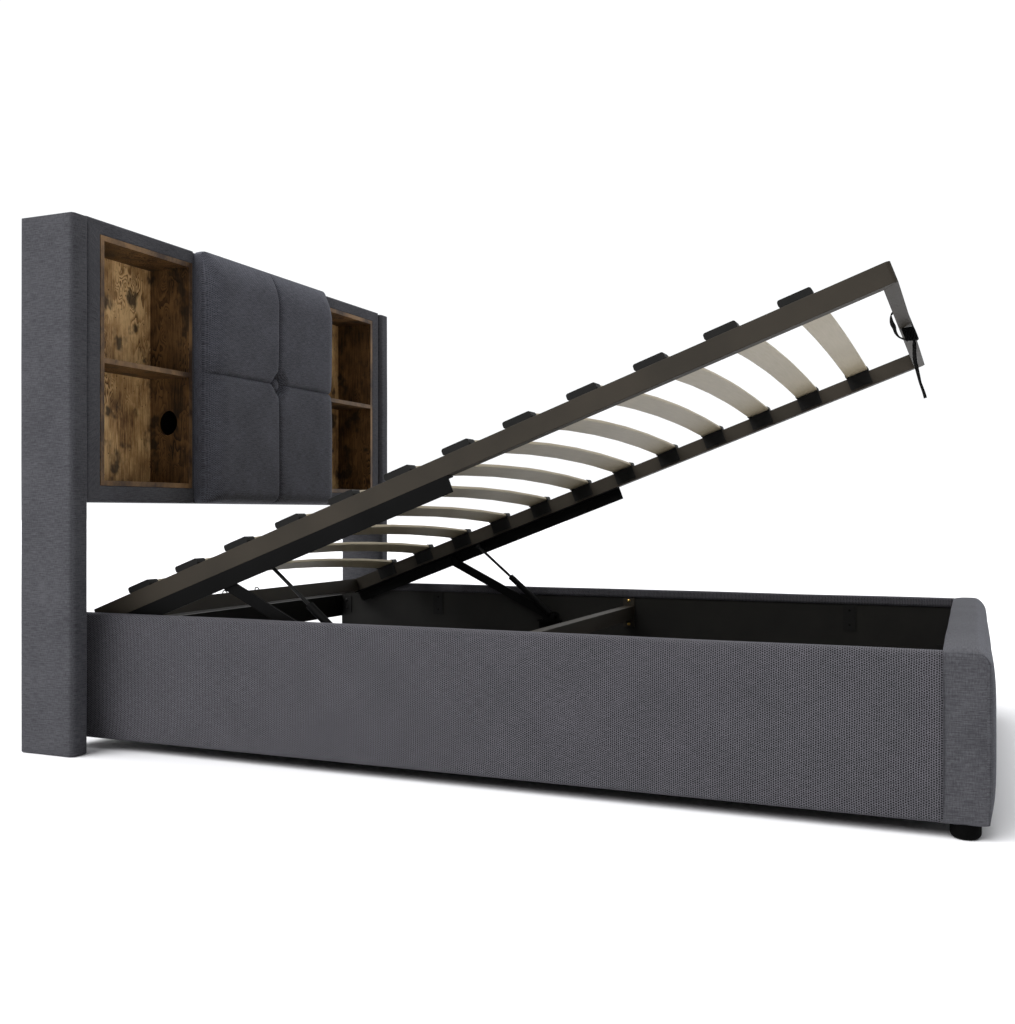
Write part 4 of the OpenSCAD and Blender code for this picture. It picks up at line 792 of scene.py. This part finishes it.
# %% Oak finish
def oak(name, light, mid, dark, edging, ring=0.005, core_swing=0.045, core_depth=0.012, board_width=0.26):
    """Ring phase (sqrt(c^2 + core_depth^2) + 0.07 z)/ring, where c = core_swing sin(2 pi (x + y)/board_width
    + noise). The rings' share of the grain fades in and out with a slow noise, and the pores fill the rest."""
    material, tree, shader = start_finish(name, Roughness=0.55)
    shader.inputs["Specular IOR Level"].default_value = 0.3
    place = add(tree, "TexCoord", out="Object")
    x, y, z = add(tree, "SeparateXYZ", {0: place}).node.outputs

    def noise(scale, tall=1.0, detail=4.0, roughness=0.6):
        """Noise with 'scale' patches a metre, stretched along Z by 1/tall."""
        moved = add(tree, "Mapping", {0: place, "Scale": (1.0, 1.0, tall)})
        return add(tree, "TexNoise", {"Vector": moved, "Scale": scale, "Detail": detail, "Roughness": roughness})

    def math(operation, a, b=0.0, c=0.0):
        return add(tree, "Math", {0: a, 1: b, 2: c}, operation=operation)

    def fade(value, start, stop, low, high):
        """From low to high while the value goes from start to stop, eased at both ends."""
        return add(tree, "MapRange", {0: value, 1: start, 2: stop, 3: low, 4: high}, interpolation_type="SMOOTHSTEP")

    swing = math("MULTIPLY", noise(6.0, 0.35), 11.0)
    phase = math("MULTIPLY_ADD", math("ADD", x, y), 2 * pi / board_width, swing)
    side = math("MULTIPLY", math("SINE", phase), core_swing)
    core = math("SQRT", math("MULTIPLY_ADD", side, side, core_depth ** 2))
    shaken = math("MULTIPLY_ADD", noise(45.0, 0.4), 0.006, math("MULTIPLY_ADD", z, 0.07, core))
    year = fade(math("FRACT", math("MULTIPLY", shaken, 1 / ring)), 0.0, 0.8, 0.15, 0.85)
    shown = fade(noise(4.5, 0.5, 2.0), 0.46, 0.58, 0.0, 0.75)
    pores = noise(420.0, 0.035, 2.0)
    grain = add(tree, "Mix", {0: shown, 2: pores, 3: year}, data_type="FLOAT")
    clouds = noise(9.0, 0.6, 7.0, 0.7)
    tone = add(tree, "Mix", {0: 0.62, 2: grain, 3: clouds}, data_type="FLOAT")
    colour = add(tree, "ValToRGB", {0: tone}, stops=[(0.38, ink(dark)), (0.49, ink(mid)), (0.58, ink(light))])
    stains = fade(noise(17.0, 0.8, 3.0), 0.53, 0.66, 0.0, 0.85)
    pits = add(tree, "TexVoronoi", {"Vector": place, "Scale": 55.0}, out="Distance")
    dirt = math("MAXIMUM", stains, fade(pits, 0.07, 0.13, 0.8, 0.0))
    stained = add(tree, "Mix", {0: dirt, 6: colour, 7: ink("1f1912")}, out=2, data_type="RGBA")
    front = math("LESS_THAN", y, float(box("shelf_box_left")[0][1]) + 0.0005)
    edge_tone = add(tree, "ValToRGB", {0: clouds}, stops=[(0.40, ink(edging[0])), (0.58, ink(edging[1]))])
    final = add(tree, "Mix", {0: front, 6: stained, 7: edge_tone}, out=2, data_type="RGBA")
    bump = add(tree, "Bump", {"Strength": 0.2, "Distance": 0.0004, "Height": grain})
    wire(tree, shader, Base_Color=final, Normal=bump, Roughness=fade(grain, 0.0, 1.0, 0.62, 0.46))
    return material


# The back panels get the oak's own colours. The walls and shelves get a darker copy of it, which is painted shade for
# the inside of the boxes.
rustic_oak = oak("printed_oak_rustic", "d6b27f", "a37e51", "50361f", ("352416", "785b3a"))
shaded_oak_copy = oak("printed_oak_painted_shade", "745634", "523a21", "22170c", ("352416", "785b3a"))
print("wood:", rustic_oak.name, shaded_oak_copy.name)


# %% [markdown]
# ## Slats, softwood and dark boards
#
# Bed slats are layers of birch glued in a press and coated in a pale paint, so they show a faint long grain and very
# fine lines along their edges. Battens are pine, darkened so that the shade under the side rails stays dark and grey:
# this is painted shade. The boards inside the base are lined with a dark, slightly mottled film that spreads light
# softly.

# %% Wood and board finishes
def slat_finish():
    """Tone = 0.45 long grain + 0.55 cloud. The grain is noise of 5 mm drawn out twenty times along X."""
    material, tree, shader = start_finish("birch_laminate_coated", Roughness=0.45)
    shader.inputs["Specular IOR Level"].default_value = 0.35
    place = add(tree, "TexCoord", out="Object")
    long_grain = add(tree, "TexNoise", {"Vector": add(tree, "Mapping", {0: place, "Scale": (0.05, 1, 1)}),
                                        "Scale": 220.0, "Detail": 3.0})
    cloud = add(tree, "TexNoise", {"Vector": place, "Scale": 3.5, "Detail": 2.0})
    tone = add(tree, "Mix", {0: 0.55, 2: long_grain, 3: cloud}, data_type="FLOAT")
    colour = add(tree, "ValToRGB", {0: tone}, stops=[(0.35, ink("978b71")), (0.65, ink("a79b82"))])
    wire(tree, shader, Base_Color=colour,
         Normal=add(tree, "Bump", {"Strength": 0.1, "Distance": 0.0003, "Height": long_grain}))
    return material


def plain_board(name, low, high, rough, scale, bump, gloss, stretch=(1, 1, 1)):
    """A board or plastic: its tone drifts between two colours with noise, and finer noise is its relief."""
    material, tree, shader = start_finish(name, Roughness=rough)
    shader.inputs["Specular IOR Level"].default_value = gloss
    place = add(tree, "TexCoord", out="Object")
    spread = add(tree, "Mapping", {0: place, "Scale": stretch})
    tone = add(tree, "TexNoise", {"Vector": spread, "Scale": scale, "Detail": 5.0, "Roughness": 0.6})
    colour = add(tree, "ValToRGB", {0: tone}, stops=[(0.35, ink(low)), (0.65, ink(high))])
    fine = add(tree, "TexNoise", {"Vector": place, "Scale": 900.0, "Detail": 2.0})
    wire(tree, shader, Base_Color=colour,
         Normal=add(tree, "Bump", {"Strength": bump, "Distance": 0.0003, "Height": fine}))
    return material


coated_birch = slat_finish()
dark_film = plain_board("melamine_film_dark", "12110f", "1a1916", rough=0.6, scale=6.0, bump=0.1, gloss=0.2)
# Painted shade: the hidden battens and runner are made dark so that the shade under the rails stays dark and grey.
shade_darkened_pine = plain_board("pine_painted_shade", "2b2724", "3a3530", rough=0.7, scale=34.0, bump=0.15, gloss=0.2,
                           stretch=(1, 0.06, 1))
foot_plastic = plain_board("polypropylene_moulded_black", "010101", "040404", rough=0.8, scale=30.0, bump=0.3,
                           gloss=0.05)
holder_plastic = plain_board("polypropylene_holder", "0d0d0c", "141312", rough=0.6, scale=30.0, bump=0.35,
                             gloss=0.15)
print("boards and plastics:", [m.name for m in (coated_birch, dark_film, shade_darkened_pine, foot_plastic, holder_plastic)])

# %% [markdown]
# ## Steel and brass
#
# The platform and cross bar are powder-coated steel tube. Powder coat melts to a satin skin with a
# fine orange peel. The arms, angles, wires and gas springs are painted black. Plates, brackets and their
# bolts are blackened, and the cross bar's screws are yellow zinc, which looks like brass.

# %% Metal finishes
def coated_steel(name, low, high, rough, peel, metallic=0.0, gloss=0.5):
    """Paint or plating: tone drifts slowly, roughness varies a little, relief is the orange peel."""
    material, tree, shader = start_finish(name, Roughness=rough, Metallic=metallic)
    shader.inputs["Specular IOR Level"].default_value = gloss
    place = add(tree, "TexCoord", out="Object")
    drift = add(tree, "TexNoise", {"Vector": place, "Scale": 5.0, "Detail": 3.0})
    colour = add(tree, "ValToRGB", {0: drift}, stops=[(0.35, ink(low)), (0.65, ink(high))])
    skin = add(tree, "TexNoise", {"Vector": place, "Scale": 700.0, "Detail": 1.0})
    wire(tree, shader, Base_Color=colour,
         Roughness=add(tree, "MapRange", {0: drift, 3: rough - 0.06, 4: rough + 0.06}),
         Normal=add(tree, "Bump", {"Strength": peel, "Distance": 0.0003, "Height": skin}))
    return material


powder_coat = coated_steel("powder_coat_satin", "2b2721", "332e27", rough=0.56, peel=0.25, gloss=0.13)
black_paint = coated_steel("enamel_black_satin", "020202", "070707", rough=0.6, peel=0.2, gloss=0.07)
black_oxide = coated_steel("steel_black_oxide_matt", "0b0b0a", "11100f", rough=0.6, peel=0.1, gloss=0.2)
black_rod = coated_steel("nitrided_steel_polished", "040404", "080808", rough=0.4, peel=0.02, gloss=0.12)
yellow_zinc = coated_steel("zinc_yellow_passivated", "a98a4a", "c9a964", rough=0.3, peel=0.1, metallic=1.0)
print("metals:", [m.name for m in (powder_coat, black_paint, black_oxide, black_rod, yellow_zinc)])


# %% [markdown]
# ## Eased edges on hard parts
#
# A tube's corner or a sawn slat's edge is never razor sharp, and the thin line of light on it tells the
# eye what the thing is. So these solids get a copy: its loose triangles are welded, flat ones joined
# into whole faces, and each sharp edge is rounded by a bevel a millimetre or so wide. Weighted normals
# keep the large faces flat, so that only the bevel shades from one face to the next.

# %% Copies with eased edges
def eased(node, width, material):
    """Copy of a solid: weld, join faces within 1 degree, bevel edges over 30 degrees, weight normals."""
    mesh = frame["nodes"][node].data.copy()
    shell = bmesh.new()
    shell.from_mesh(mesh)
    bmesh.ops.remove_doubles(shell, verts=shell.verts, dist=2e-6)
    bmesh.ops.dissolve_limit(shell, angle_limit=radians(1), verts=shell.verts, edges=shell.edges)
    shell.to_mesh(mesh)
    shell.free()
    copy = bpy.data.objects.new(node + "_eased", mesh)
    bpy.context.scene.collection.objects.link(copy)
    bevel = copy.modifiers.new("edge", "BEVEL")
    bevel.width, bevel.segments, bevel.limit_method, bevel.angle_limit = width, 2, "ANGLE", radians(30)
    weights = copy.modifiers.new("weights", "WEIGHTED_NORMAL")
    weights.weight = 100
    mesh.polygons.foreach_set("use_smooth", np.ones(len(mesh.polygons), bool))
    mesh.materials.clear()
    mesh.materials.append(material)
    body = next(b for b, nodes in frame["record"]["behaviour"]["bodies"].items() if node in nodes)
    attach(copy, body)
    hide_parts(node)
    print(f"{copy.name}: {len(mesh.polygons)} faces before the bevel, on {body}")


def both(*pairs):
    """Names of the left and the right solid of each pair."""
    return [f"{pair}_{side}" for pair in pairs for side in ("left", "right")]


for node in both("frame_side") + ["frame_head_tube", "frame_foot_tube"]:
    eased(node, 0.0016, powder_coat)
eased("slats", 0.0018, coated_birch)
eased("slat_holders", 0.0010, holder_plastic)
eased("cross_bar", 0.0014, powder_coat)

# %% [markdown]
# ## Finishes for the solids that stay
#
# The other hard parts keep their solids. Each node's material slots simply get the finish it has on
# the real bed.

# %% Assign finishes
finishes = {
    rustic_oak: both("shelf_back"),
    # Painted shade: the darker copy of the oak on the box walls and shelves.
    shaded_oak_copy: both("shelf_box", "shelf"),
    dark_film: both("post_board", "side_board") + ["headboard_back", "head_cross_rail", "foot_board",
                                                   "base_panel_head", "base_panel_foot"],
    # Painted shade: dark battens and runner under the base.
    shade_darkened_pine: ["base_battens", "base_runner"],
    foot_plastic: ["feet"],
    powder_coat: ["cross_bar_plates"],
    black_paint: both("lift_base", "lift_arm", "swing_link", "gas_cylinder", "lift_angle") + [
        "wire_loops", "pin_clips", "platform_pins", "joint_plate_screws", "base_pins", "swing_bolts"],
    black_oxide: ["joint_plates", "corner_brackets", "corner_bolts"],
    black_rod: both("gas_rod"),
    yellow_zinc: ["cross_bar_screws"],
}
for finish, nodes in finishes.items():
    for node in nodes:
        mesh = frame["nodes"][node].data
        mesh.materials.clear()
        mesh.materials.append(finish)
print("finishes on", sum(len(n) for n in finishes.values()), "solids")

# %% [markdown]
# ## Floor
#
# A plain pale floor, large enough that its far edge melts into the white surroundings.

# %% Floor
floor_finish, floor_tree, floor_shader = start_finish("painted_floor", Roughness=0.7, Base_Color=ink("e9e9eb"))
floor_mesh = bpy.data.meshes.new("floor")
floor_mesh.from_pydata([(-60, -60, 0), (60, -60, 0), (60, 60, 0), (-60, 60, 0)], [], [(0, 1, 2, 3)])
floor_mesh.materials.append(floor_finish)
floor = bpy.data.objects.new("floor", floor_mesh)
bpy.context.scene.collection.objects.link(floor)
print("floor:", floor.name, "120 m square")
